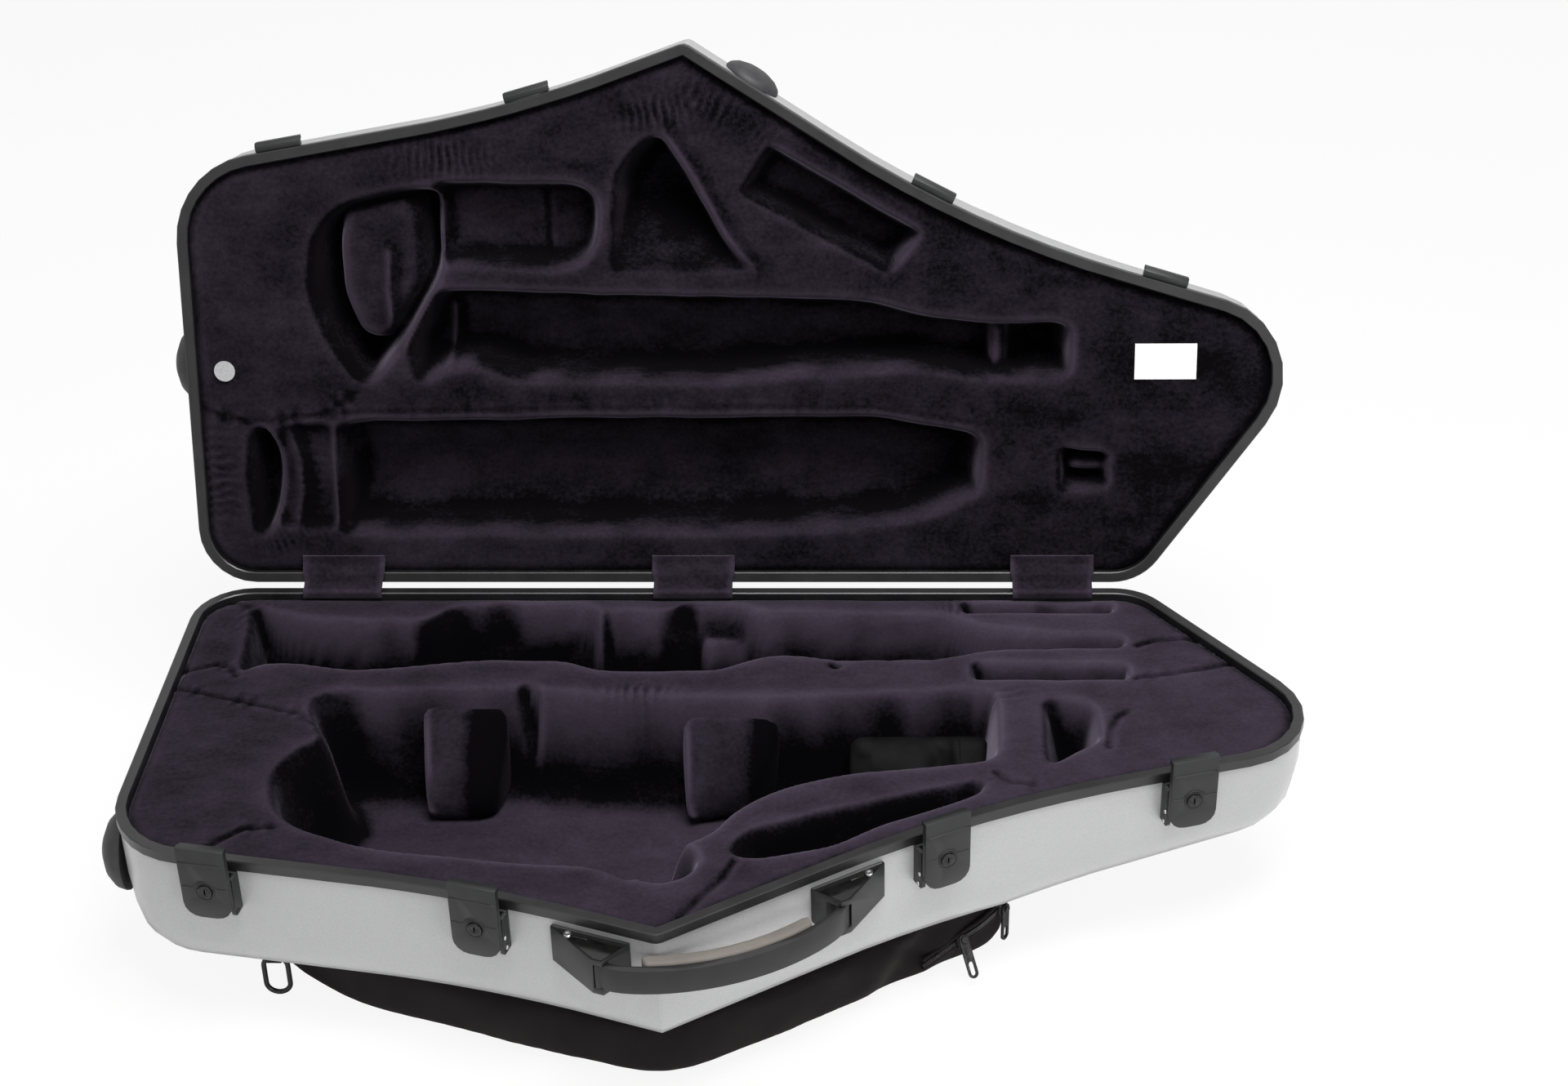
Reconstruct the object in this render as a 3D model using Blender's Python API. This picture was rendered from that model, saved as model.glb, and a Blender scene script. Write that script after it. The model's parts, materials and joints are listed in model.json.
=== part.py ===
"""A double saxophone case, standing open on the pocket under its base.

X runs along the hinge, -Y is the front with the handle, and +Z is up. The origin is on the floor, under the
middle of the base. Base pieces are modelled below a rim plane at z = 0, with the hinge line along X, and are then
moved to their height. Lid pieces are modelled closed, above that plane, and are then turned open as well.
"""

import math

import bmesh
import bpy
from mathutils import Matrix, Vector

# Gaps
SEAT_GAP = 0.0003
PIN_CLEARANCE = 0.0003
CUT_OVERRUN = 0.004

# Case body
CASE_LENGTH = 0.880
CASE_WIDTH = 0.440
BASE_DEPTH = 0.110
LID_DEPTH = 0.100
WALL_THICKNESS = 0.003
WALL_LEAN = 0.002
EDGE_RADIUS = 0.032
LEAN_START_DEPTH = 0.050
TIP_RISE = 0.034
RISE_START_DEPTH = 0.020
RISE_START_SHARE = 0.24
HINGE_SETBACK = 0.0026
OPEN_ANGLE_DEG = 104.0

# Plan outline: the corners' places as shares of length (from the middle) and of width (from the hinge line)
FRONT_LEFT_SHARES = (-0.498, 0.7845)
LEFT_SWEEP_SHARES = (-0.190, 0.889)
NOSE_SHARES = (-0.0355, 1.0)
RIGHT_SWEEP_SHARES = (0.219, 0.672)
TIP_SHARES = (0.547, 0.4764)
BACK_RIGHT_SHARE = 0.3765
BACK_LEFT_SHARE = -0.5003
BACK_CORNER_RADIUS = 0.045
FRONT_LEFT_RADIUS = 0.0706
LEFT_SWEEP_RADIUS = 1.02
NOSE_RADIUS = 0.008
RIGHT_SWEEP_RADIUS = 0.88
TIP_RADIUS = 0.065
LEAST_RADIUS = 0.0008

# Rims
RIM_BAND_HEIGHT = 0.0084
RIM_WIDTH = 0.0086
RIM_SKIN = 0.0012
RIM_TOP_THICKNESS = 0.0022
RIM_EDGE_ROUND = 0.0008

# Linings
LINING_TOP_DEPTH = 0.0050
LINING_CROWN = 0.0030
PAD_THICKNESS = 0.030
PAD_SEAM = 0.0006
PAD_EDGE_DROP = 0.0060
PAD_EDGE_REACH = 0.0085
PAD_EDGE_STEPS = 3
TENOR_FLOOR_FOAM = 0.014
TENOR_WELL_DEPTH = BASE_DEPTH - TENOR_FLOOR_FOAM
SOPRANO_FLOOR_FOAM = 0.035
SOPRANO_SLOT_DEPTH = BASE_DEPTH - SOPRANO_FLOOR_FOAM
SIDE_SLOT_DEPTH = 0.050
GROOVE_DEPTH = 0.045
RECESS_DEPTH = 0.060
LID_TROUGH_FOAM = 0.048
LID_TROUGH_DEPTH = LID_DEPTH - LID_TROUGH_FOAM
LID_POCKET_DEPTH = 0.036
LID_BELL_FOAM = 0.034
LID_BELL_DEPTH = LID_DEPTH - LID_BELL_FOAM
LID_WELL_FOAM = 0.030
LID_WELL_DEPTH = LID_DEPTH - LID_WELL_FOAM

# Wells in the base: corners as shares of length (from the middle) and of width (from the hinge line)
TENOR_WELL_SHARES = (
    (-0.369, 0.352), (-0.340, 0.316), (-0.272, 0.314), (-0.100, 0.325), (0.040, 0.341), (0.242, 0.339),
    (0.242, 0.540), (0.170, 0.560), (0.068, 0.602), (0.017, 0.648), (-0.003, 0.705), (-0.055, 0.880),
    (-0.085, 0.823), (-0.171, 0.814), (-0.284, 0.784), (-0.350, 0.728), (-0.378, 0.640), (-0.375, 0.534),
    (-0.347, 0.466), (-0.371, 0.405),
)
SOPRANO_SLOT_SHARES = (
    (-0.448, 0.041), (-0.412, 0.088), (-0.290, 0.094), (-0.262, 0.052), (-0.205, 0.036), (-0.132, 0.036),
    (-0.117, 0.062), (-0.050, 0.062), (-0.044, 0.038), (0.006, 0.038), (0.032, 0.078), (0.205, 0.080),
    (0.300, 0.134), (0.358, 0.140), (0.358, 0.194), (0.238, 0.200), (0.150, 0.238), (0.060, 0.220),
    (-0.020, 0.272), (-0.128, 0.268), (-0.190, 0.232), (-0.300, 0.256), (-0.425, 0.246), (-0.438, 0.284),
)
REAR_SLOT_SHARES = ((0.213, 0.036), (0.350, 0.036), (0.350, 0.072), (0.213, 0.072))
FRONT_SLOT_SHARES = ((0.216, 0.236), (0.357, 0.236), (0.357, 0.286), (0.216, 0.286))
GROOVE_SHARES = (
    (0.010, 0.782), (0.028, 0.720), (0.075, 0.682), (0.227, 0.572), (0.222, 0.618), (0.136, 0.710),
    (0.097, 0.766), (0.034, 0.800),
)
RECESS_SHARES = ((0.274, 0.345), (0.320, 0.341), (0.332, 0.482), (0.298, 0.500), (0.284, 0.545), (0.272, 0.545))

# Pads with a seam, each cut from the lining, and the two blocks standing in the tenor well
END_PAD_LEFT_SHARES = ((-0.55, 0.316), (-0.369, 0.400), (-0.30, 0.466), (-0.30, 0.70), (-0.405, 0.745), (-0.47, 1.1),
                       (-0.55, 1.1))
END_PAD_RIGHT_SHARES = ((0.365, 0.272), (0.455, 0.205), (0.60, 0.205), (0.60, 0.70), (0.340, 0.70), (0.340, 0.40))
BELL_PAD_SHARES = ((-0.045, 1.1), (-0.058, 0.90), (-0.020, 0.62), (0.236, 0.500), (0.236, 0.610), (0.075, 0.800),
                   (0.035, 1.1))
BLOCK_LEFT_SHARES = ((-0.271, 0.322), (-0.192, 0.326), (-0.202, 0.425), (-0.216, 0.438), (-0.262, 0.440))
BLOCK_MIDDLE_SHARES = ((-0.040, 0.342), (0.053, 0.348), (0.038, 0.395), (0.022, 0.424), (-0.032, 0.452))
BLOCK_REAR_DEPTH = 0.014
BLOCK_FRONT_DEPTH = 0.072
BLOCK_EDGE_DROP = 0.009
BLOCK_EDGE_REACH = 0.008
BLOCK_SIDE_DRAW = 0.0025

# Hollows in the lid, as shares in the same way
LOWER_TROUGH_SHARES = (
    (-0.368, 0.095), (0.010, 0.095), (0.165, 0.116), (0.228, 0.154), (0.236, 0.184), (0.236, 0.285), (0.222, 0.304),
    (0.120, 0.334), (-0.345, 0.327), (-0.372, 0.311), (-0.378, 0.200),
)
CRESCENT_SHARES = (
    (-0.430, 0.095), (-0.412, 0.120), (-0.404, 0.195), (-0.414, 0.275), (-0.432, 0.312), (-0.447, 0.295),
    (-0.450, 0.205), (-0.446, 0.115),
)
UPPER_TROUGH_SHARES = (
    (-0.262, 0.384), (-0.244, 0.412), (-0.216, 0.412), (-0.198, 0.390), (-0.100, 0.388), (0.193, 0.409),
    (0.216, 0.386), (0.295, 0.384), (0.312, 0.420), (0.312, 0.488), (0.300, 0.507), (0.170, 0.522),
    (0.114, 0.534), (-0.114, 0.552), (-0.252, 0.545),
)
BELL_CHANNEL_SHARES = (
    (-0.341, 0.345), (-0.372, 0.454), (-0.383, 0.568), (-0.366, 0.677), (-0.330, 0.723), (-0.252, 0.741),
    (-0.250, 0.575), (-0.272, 0.510), (-0.299, 0.443), (-0.325, 0.364),
)
BELL_ISLAND_SHARES = (
    (-0.341, 0.466), (-0.318, 0.459), (-0.300, 0.470), (-0.278, 0.534), (-0.284, 0.602), (-0.286, 0.700),
    (-0.324, 0.695), (-0.350, 0.640), (-0.355, 0.550),
)
ROUND_POCKET_SHARES = (
    (-0.246, 0.580), (-0.136, 0.586), (-0.112, 0.612), (-0.108, 0.690), (-0.122, 0.730), (-0.146, 0.743),
    (-0.246, 0.740),
)
NOSE_WELL_SHARES = (
    (-0.062, 0.843), (-0.104, 0.755), (-0.103, 0.610), (-0.070, 0.580), (0.034, 0.573), (0.000, 0.641),
    (-0.050, 0.836),
)
TILTED_POCKET_SHARES = ((0.008, 0.734), (0.146, 0.573), (0.173, 0.659), (0.040, 0.830), (0.022, 0.800))
SMALL_POCKET_SHARES = ((0.298, 0.170), (0.344, 0.182), (0.344, 0.250), (0.298, 0.262))

# Things in the lid
STUD_SHARES = (-0.4645, 0.412)
STUD_RADIUS = 0.0085
STUD_HEIGHT = 0.0022
STUD_SOCKET_RADIUS = 0.0035
STUD_SOCKET_DEPTH = 0.0012
LABEL_SHARES = (0.394, 0.424)
LABEL_LENGTH = 0.049
LABEL_WIDTH = 0.029
LABEL_THICKNESS = 0.0008

# Hinges
HINGE_SHARES = (-0.366, -0.038, 0.295)
HINGE_LENGTH = 0.060
HINGE_KNUCKLE_RADIUS = 0.0022
HINGE_PIN_RADIUS = 0.0009
HINGE_LEAF_THICKNESS = 0.0012
HINGE_LEAF_HEIGHT = 0.0185
HINGE_LEAF_CLEARANCE = 0.0032
HINGE_KNUCKLE_SHARE = 0.333
HINGE_CLOTH_LENGTH = 0.068
HINGE_CLOTH_THICKNESS = 0.0018
HINGE_CLOTH_LID_REACH = 0.025
HINGE_CLOTH_SLOPE = 0.0045
HINGE_CLOTH_TUCK = 0.0042
HINGE_CLOTH_BEND_RADIUS = 0.0010
HINGE_CLOTH_STEPS = 6

# Latches
LATCH_SHARES = (-0.401, -0.176, 0.182, 0.391)
LATCH_WIDTH = 0.036
LEVER_ABOVE_RIM = 0.020
LEVER_BELOW_RIM = 0.040
LEVER_PLATE_INNER = 0.012
LEVER_PLATE_THICKNESS = 0.005
LEVER_CORNER_RADIUS = 0.012
LEVER_LIP_REACH = 0.003
LEVER_LIP_HEIGHT = 0.005
PIVOT_STANDOFF = 0.008
PIVOT_DEPTH = 0.038
PIVOT_RADIUS = 0.0015
EYE_RADIUS = 0.0036
TONGUE_WIDTH = 0.022
TONGUE_HEIGHT = 0.009
BRACKET_PLATE_THICKNESS = 0.0032
CHEEK_THICKNESS = 0.003
CHEEK_HEIGHT = 0.028
CHEEK_TOP_SETBACK = 0.0024
KEYHOLE_DEPTH = 0.0165
LOCK_RADIUS = 0.0055
LOCK_PROUD = 0.0010
KEY_SLOT_WIDTH = 0.0012
KEY_SLOT_LENGTH = 0.0050
KEY_SLOT_DEPTH = 0.0020
KEEPER_HEIGHT = 0.010
KEEPER_BASE_HEIGHT = 0.004
KEEPER_REACH = 0.0077
KEEPER_HOOK_THICKNESS = 0.003

# Handle
HANDLE_BRACKET_SHARES = (-0.0895, 0.110)
BRACKET_LENGTH = 0.059
BRACKET_REACH = 0.0235
BRACKET_HEIGHT = 0.030
BRACKET_DEPTH = 0.0137
BRACKET_NOSE_SHARE = 0.26
BRACKET_NOSE_LENGTH = 0.008
BRACKET_END_THICKNESS = 0.003
HANDLE_PIN_RADIUS = 0.0018
HANDLE_PIN_SEAT = 0.0030
HANDLE_EYE_RADIUS = 0.0048
STRAP_WIDTH = 0.020
STRAP_THICKNESS = 0.0055
STRAP_BULGE = 0.029
STRAP_BEND_POWER = 0.6
STRAP_TANGENT_SHARE = 0.01
STRAP_STEPS = 24
GRIP_START_SHARE = 0.15
GRIP_THICKNESS = 0.0055
GRIP_STEPS = 12

# Pocket and what hangs from it
POCKET_DEPTH = 0.052
POCKET_EDGE_RADIUS = 0.016
POCKET_SHARES = (
    (-0.398, 0.091), (-0.398, 0.648), (-0.307, 0.784), (-0.190, 0.852), (-0.035, 0.958), (0.195, 0.662),
    (0.248, 0.602), (0.248, 0.091),
)
POCKET_RADII = (0.030, 0.040, 0.080, 0.300, 0.060, 0.300, 0.024, 0.030)
POCKET_CORNER_STEPS = 4
ZIP_PULL_LENGTH = 0.026
ZIP_PULL_WIDTH = 0.008
ZIP_PULL_THICKNESS = 0.0018
ZIP_PULL_CLEARANCE = 0.0004
ZIP_PULL_SLOT_LENGTH = 0.007
ZIP_LUG_RADIUS = 0.0012
ZIP_LUG_HEAD_RADIUS = 0.0026
ZIP_LUG_HEAD_THICKNESS = 0.0012
ZIP_LUG_ROOT = 0.006
ZIP_UPPER_SHARE = 0.2420
ZIP_UPPER_DEPTH = 0.0085
ZIP_UPPER_LEAN_DEG = 0.0
ZIP_LOWER_SHARE = 0.205
ZIP_LOWER_DEPTH = 0.021
ZIP_LOWER_LEAN_DEG = 35.0
RING_SHARES = (-0.373, 0.750)
RING_HEIGHT = 0.034
RING_WIDTH = 0.018
RING_WIRE_RADIUS = 0.0016
RING_SIDES = 8
RING_ARC_STEPS = 6
TAB_WIDTH = 0.011
TAB_THICKNESS = 0.003
TAB_DROP = 0.010
TAB_HOLE_RADIUS = 0.0026
TAB_HOLE_EDGE = 0.0025

# Feet
FOOT_RADIUS = 0.032
FOOT_REACH = 0.020
FOOT_LID_SHARE = 0.405
FOOT_LID_DEPTH = 0.046
FOOT_BASE_SHARE = 0.640
FOOT_BASE_DEPTH = 0.052
FOOT_NOSE_SHARE = 0.022
FOOT_NOSE_RADIUS = 0.024
FOOT_NOSE_REACH = 0.011

# Pouch
POUCH_CENTRE_SHARES = (0.175, 0.4000)
POUCH_LEAN_DEG = 40.0
POUCH_TURN_DEG = 0.6
POUCH_LENGTH = 0.104
POUCH_WIDTH = 0.072
POUCH_HEIGHT = 0.030
POUCH_CORNER = 0.012
POUCH_SIDE_DRAW = 0.003
POUCH_EDGE_REACH = 0.014
POUCH_CROWN = 0.005

# Mesh fineness
CORNER_STEPS = 7
SWEEP_STEPS = 8
NOSE_STEPS = 2
EDGE_STEPS = 4
ROUND_SIDES = 24
WALL_FIT_STEPS = 24
SMALL_ROUND_SIDES = 14
SHARP_ANGLE_DEG = 35.0

RIM_HEIGHT = BASE_DEPTH + POCKET_DEPTH + SEAT_GAP
OPEN_ANGLE = math.radians(OPEN_ANGLE_DEG)
HINGE_LINE = Vector((0, CASE_WIDTH / 2, RIM_HEIGHT))
STANDING = Matrix.Translation(HINGE_LINE)
OPENING = STANDING @ Matrix.Rotation(-OPEN_ANGLE, 4, "X")

MATERIALS = {
    "shell_grey": ((0.60, 0.61, 0.62), 0.45, 0.0),
    "rim_black": ((0.025, 0.025, 0.027), 0.45, 0.0),
    "plush": ((0.020, 0.014, 0.024), 0.95, 0.0),
    "latch_black": ((0.035, 0.036, 0.037), 0.50, 0.0),
    "silver_metal": ((0.75, 0.75, 0.76), 0.25, 1.0),
    "dark_metal": ((0.12, 0.12, 0.12), 0.35, 1.0),
    "label_white": ((0.80, 0.80, 0.80), 0.55, 0.0),
    "strap_black": ((0.045, 0.045, 0.047), 0.60, 0.0),
    "grip_taupe": ((0.44, 0.38, 0.35), 0.75, 0.0),
    "pocket_cloth": ((0.020, 0.016, 0.017), 0.90, 0.0),
    "leather_black": ((0.020, 0.020, 0.020), 0.50, 0.0),
    "foot_rubber": ((0.045, 0.045, 0.047), 0.70, 0.0),
}


def clear_scene():
    for obj in list(bpy.data.objects):
        bpy.data.objects.remove(obj, do_unlink=True)


def material(name):
    found = bpy.data.materials.get(name)
    if found:
        return found
    colour, roughness, metallic = MATERIALS[name]
    made = bpy.data.materials.new(name)
    made.use_nodes = True
    surface = made.node_tree.nodes["Principled BSDF"]
    surface.inputs["Base Color"].default_value = (*colour, 1.0)
    surface.inputs["Roughness"].default_value = roughness
    surface.inputs["Metallic"].default_value = metallic
    return made


def add_object(name, bm, material_name, origin=Vector(), smooth=False):
    """A node from a bmesh in world coordinates, with its origin where asked and its faces pointing out."""
    bmesh.ops.recalc_face_normals(bm, faces=bm.faces)
    bmesh.ops.translate(bm, verts=bm.verts, vec=-Vector(origin))
    mesh = bpy.data.meshes.new(name)
    bm.to_mesh(mesh)
    bm.free()
    if smooth:
        mesh.shade_smooth()
        mesh.set_sharp_from_angle(angle=math.radians(SHARP_ANGLE_DEG))
    obj = bpy.data.objects.new(name, mesh)
    obj.location = origin
    obj.data.materials.append(material(material_name))
    bpy.context.scene.collection.objects.link(obj)
    return obj


def combined(first, second, operation):
    """The EXACT Boolean of two bmeshes, both used up, as a new bmesh."""
    pair = []
    for label, bm in (("kept", first), ("tool", second)):
        bmesh.ops.recalc_face_normals(bm, faces=bm.faces)
        mesh = bpy.data.meshes.new(label)
        bm.to_mesh(mesh)
        bm.free()
        obj = bpy.data.objects.new(label, mesh)
        bpy.context.scene.collection.objects.link(obj)
        pair.append(obj)
    kept, tool = pair
    modifier = kept.modifiers.new("cut", "BOOLEAN")
    modifier.solver = "EXACT"
    modifier.operation = operation
    modifier.object = tool
    graph = bpy.context.evaluated_depsgraph_get()
    result = bmesh.new()
    result.from_mesh(kept.evaluated_get(graph).to_mesh())
    for obj in pair:
        mesh = obj.data
        bpy.data.objects.remove(obj, do_unlink=True)
        bpy.data.meshes.remove(mesh)
    return result


def cut(body, *tools):
    for tool in tools:
        body = combined(body, tool, "DIFFERENCE")
    return body


def joined(body, *others):
    for other in others:
        body = combined(body, other, "UNION")
    return body


def moved(bm, matrix):
    bmesh.ops.transform(bm, matrix=matrix, verts=bm.verts)
    return bm


def at_x(share):
    return share * CASE_LENGTH


def at_y(share):
    return -share * CASE_WIDTH


def plan(shares):
    """Plan points, in metres, from shares of length and width."""
    return [Vector((at_x(x), at_y(y))) for x, y in shares]


def offset_corners(points, radii, steps, inset):
    """A closed plan outline, moved inward by inset, with each corner rounded. Radii grow or shrink with it."""
    lines = []
    for a, b in zip(points, points[1:] + points[:1]):
        along = (b - a).normalized()
        lines.append((a + Vector((-along.y, along.x)) * inset, along))
    rounded = []
    for i, ((a, before), (b, after)) in enumerate(zip(lines[-1:] + lines[:-1], lines)):
        turn = math.atan2(before.x * after.y - before.y * after.x, before.dot(after))
        reach = ((b - a).x * after.y - (b - a).y * after.x) / (before.x * after.y - before.y * after.x)
        corner = a + before * reach
        if steps[i] == 0:
            rounded.append(corner)
            continue
        radius = max(radii[i] - math.copysign(inset, turn), LEAST_RADIUS)
        start = corner - before * radius * math.tan(abs(turn) / 2)
        centre = start + Vector((-before.y, before.x)) * math.copysign(radius, turn)
        for step in range(steps[i] + 1):
            spin = Matrix.Rotation(turn * step / steps[i], 2)
            rounded.append(centre + spin @ (start - centre))
    return rounded


def case_outline(inset):
    """The case's plan outline, anticlockwise from above, from the back left corner."""
    points = plan([FRONT_LEFT_SHARES, LEFT_SWEEP_SHARES, NOSE_SHARES, RIGHT_SWEEP_SHARES, TIP_SHARES])
    points.append(Vector((at_x(BACK_RIGHT_SHARE), -HINGE_SETBACK)))
    points.insert(0, Vector((at_x(BACK_LEFT_SHARE), -HINGE_SETBACK)))
    radii = [BACK_CORNER_RADIUS, FRONT_LEFT_RADIUS, LEFT_SWEEP_RADIUS, NOSE_RADIUS, RIGHT_SWEEP_RADIUS, TIP_RADIUS,
             BACK_CORNER_RADIUS]
    steps = [CORNER_STEPS, CORNER_STEPS, SWEEP_STEPS, NOSE_STEPS, SWEEP_STEPS, CORNER_STEPS, CORNER_STEPS]
    return offset_corners(points, radii, steps, inset)


def loft(rings, closed=False):
    """A solid through rings of equal counts. Open lofts get a cap at each end, closed ones go round."""
    bm = bmesh.new()
    rows = [[bm.verts.new(point) for point in ring] for ring in rings]
    pairs = list(zip(rows, rows[1:]))
    if closed:
        pairs.append((rows[-1], rows[0]))
    for lower, upper in pairs:
        count = len(lower)
        for i in range(count):
            j = (i + 1) % count
            bm.faces.new((lower[i], lower[j], upper[j], upper[i]))
    if not closed:
        bm.faces.new(rows[0][::-1])
        bm.faces.new(rows[-1])
    return bm


def level_ring(points, z):
    return [(point.x, point.y, z) for point in points]


def prism(points, low, high):
    return loft([level_ring(points, low), level_ring(points, high)])


def block(x_low, x_high, y_low, y_high, z_low, z_high):
    corners = [Vector((x_low, y_low)), Vector((x_high, y_low)), Vector((x_high, y_high)), Vector((x_low, y_high))]
    return prism(corners, z_low, z_high)


def rod(start, end, radius, sides=SMALL_ROUND_SIDES):
    start = Vector(start)
    run = Vector(end) - start
    bm = bmesh.new()
    bmesh.ops.create_cone(bm, cap_ends=True, segments=sides, radius1=radius, radius2=radius, depth=run.length)
    turn = run.to_track_quat("Z", "Y").to_matrix().to_4x4()
    return moved(bm, Matrix.Translation(start + run / 2) @ turn)


def quarter(steps):
    """Angles from nought to a right angle."""
    return [math.pi / 2 * step / steps for step in range(steps + 1)]


def raise_tip(bm):
    """Bends the floor up towards the narrow end. Depth is measured down from the rim plane at z = 0."""
    start = at_x(RISE_START_SHARE)
    run = at_x(TIP_SHARES[0]) - start
    ramp = BASE_DEPTH - EDGE_RADIUS - RISE_START_DEPTH
    everything = bm.verts[:] + bm.edges[:] + bm.faces[:]
    bmesh.ops.bisect_plane(bm, geom=everything, plane_co=(start, 0, 0), plane_no=(1, 0, 0))
    for vert in bm.verts:
        along = max(0.0, vert.co.x - start) / run
        share = min(1.0, max(0.0, (-vert.co.z - RISE_START_DEPTH) / ramp))
        vert.co.z += TIP_RISE * along * share
    return bm


def wall_profile(depth, inward):
    """Inset and depth pairs down one side of the shell, to its floor. inward is the distance in from its outer face."""
    middle = RIM_SKIN + SEAT_GAP + WALL_LEAN + EDGE_RADIUS
    radius = EDGE_RADIUS - inward
    start = RIM_SKIN + SEAT_GAP + inward
    rows = [(start, RIM_TOP_THICKNESS + 2 * SEAT_GAP), (start, LEAN_START_DEPTH)]
    for angle in quarter(EDGE_STEPS):
        rows.append((middle - radius * math.cos(angle), depth - EDGE_RADIUS + radius * math.sin(angle)))
    return rows


def shell(depth):
    outer = wall_profile(depth, 0)
    inner = wall_profile(depth, WALL_THICKNESS)
    rows = outer[::-1] + inner
    return raise_tip(loft([level_ring(case_outline(inset), -down) for inset, down in rows]))


def rim():
    inner_leg = RIM_SKIN + WALL_THICKNESS + 2 * SEAT_GAP
    top = SEAT_GAP
    under = RIM_TOP_THICKNESS + SEAT_GAP
    profile = [
        (0, RIM_BAND_HEIGHT), (RIM_SKIN, RIM_BAND_HEIGHT), (RIM_SKIN, under), (inner_leg, under),
        (inner_leg, RIM_BAND_HEIGHT), (RIM_WIDTH, RIM_BAND_HEIGHT), (RIM_WIDTH, top + RIM_EDGE_ROUND),
        (RIM_WIDTH - RIM_EDGE_ROUND, top), (RIM_EDGE_ROUND, top), (0, top + RIM_EDGE_ROUND),
    ]
    return loft([level_ring(case_outline(inset), -down) for inset, down in profile], closed=True)


def lining_body(depth):
    """Foam that fills the shell, up to just under the rim plane, with a soft edge along the rim."""
    side = RIM_WIDTH + SEAT_GAP
    middle = RIM_SKIN + SEAT_GAP + WALL_LEAN + EDGE_RADIUS
    across = middle - side - SEAT_GAP
    down_radius = EDGE_RADIUS - WALL_THICKNESS - SEAT_GAP
    rows = []
    for angle in quarter(EDGE_STEPS)[::-1]:
        rows.append((middle - across * math.cos(angle), depth - EDGE_RADIUS + down_radius * math.sin(angle)))
    rows.append((side, LEAN_START_DEPTH))
    rows.append((side, LINING_TOP_DEPTH + LINING_CROWN))
    rows.append((side + LINING_CROWN, LINING_TOP_DEPTH))
    return raise_tip(loft([level_ring(case_outline(inset), -down) for inset, down in rows]))


def well(shares, depth):
    """A cutter for a hollow, open above the lining."""
    return prism(plan(shares), -depth, CUT_OVERRUN)


def grown(shares, distance):
    """A plan outline moved out by a distance, with its corners kept."""
    points = plan(shares)
    count = len(points)
    turns = sum(a.x * b.y - a.y * b.x for a, b in zip(points, points[1:] + points[:1]))
    if turns < 0:
        points.reverse()
    return offset_corners(points, [0] * count, [0] * count, -distance)


def base_wells():
    return [
        well(TENOR_WELL_SHARES, TENOR_WELL_DEPTH),
        well(SOPRANO_SLOT_SHARES, SOPRANO_SLOT_DEPTH),
        well(REAR_SLOT_SHARES, SIDE_SLOT_DEPTH),
        well(FRONT_SLOT_SHARES, SIDE_SLOT_DEPTH),
        well(GROOVE_SHARES, GROOVE_DEPTH),
        well(RECESS_SHARES, RECESS_DEPTH),
    ]


def crowned_region(shares, seam, low, top):
    """A cutter with its rounded upper edge drawn in, for a pad that bulges between its seams."""
    rows = [(seam, low), (seam, top - PAD_EDGE_DROP)]
    for angle in quarter(PAD_EDGE_STEPS)[1:]:
        inset = PAD_EDGE_REACH * (1 - math.cos(angle))
        rows.append((seam + inset, top - PAD_EDGE_DROP * (1 - math.sin(angle)) + SEAT_GAP * math.sin(angle)))
    rows.append((seam + PAD_EDGE_REACH, CUT_OVERRUN))
    return loft([level_ring(grown(shares, -inset), level) for inset, level in rows])


def make_base_lining():
    pads = {
        "end_pad_left": END_PAD_LEFT_SHARES,
        "end_pad_right": END_PAD_RIGHT_SHARES,
        "bell_pad": BELL_PAD_SHARES,
    }
    body = cut(lining_body(BASE_DEPTH), *base_wells())
    for name, shares in pads.items():
        region = crowned_region(shares, PAD_SEAM / 2, -PAD_THICKNESS + SEAT_GAP, -LINING_TOP_DEPTH)
        pad = combined(body.copy(), region, "INTERSECT")
        add_object(name, moved(pad, STANDING), "plush", HINGE_LINE)
    for shares in pads.values():
        body = cut(body, prism(grown(shares, PAD_SEAM / 2), -PAD_THICKNESS, CUT_OVERRUN))
    add_object("base_lining", moved(body, STANDING), "plush", HINGE_LINE)


def make_support_block(name, shares):
    """A padded block on the tenor well's floor, its back to the rear wall and its top sloping down to the front."""
    rear = max(point.y for point in plan(shares))
    front = min(point.y for point in plan(shares))
    fall = (BLOCK_FRONT_DEPTH - BLOCK_REAR_DEPTH) / (rear - front)
    middle = BLOCK_REAR_DEPTH + BLOCK_EDGE_DROP
    rings = [level_ring(grown(shares, 0), -TENOR_WELL_DEPTH + SEAT_GAP)]
    rows = [(BLOCK_SIDE_DRAW, (TENOR_WELL_DEPTH + middle) / 2, fall / 2), (0, middle, fall)]
    for angle in quarter(PAD_EDGE_STEPS)[1:]:
        inset = BLOCK_EDGE_REACH * (1 - math.cos(angle))
        rows.append((inset, middle - BLOCK_EDGE_DROP * math.sin(angle), fall))
    for inset, depth, slope in rows:
        rings.append([(point.x, point.y, -depth - slope * (rear - point.y)) for point in grown(shares, -inset)])
    add_object(name, moved(loft(rings), STANDING), "plush", HINGE_LINE, smooth=True)


def upside_down(bm):
    """Turns a part modelled below the rim plane into the matching one of the closed lid, above it."""
    bmesh.ops.scale(bm, vec=(1, 1, -1), verts=bm.verts)
    bmesh.ops.reverse_faces(bm, faces=bm.faces)
    return bm


def add_lid_object(name, bm, material_name, smooth=False):
    """A lid node from a bmesh modelled in the closed position, with its origin on the hinge line."""
    return add_object(name, moved(bm, OPENING), material_name, HINGE_LINE, smooth)


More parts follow.
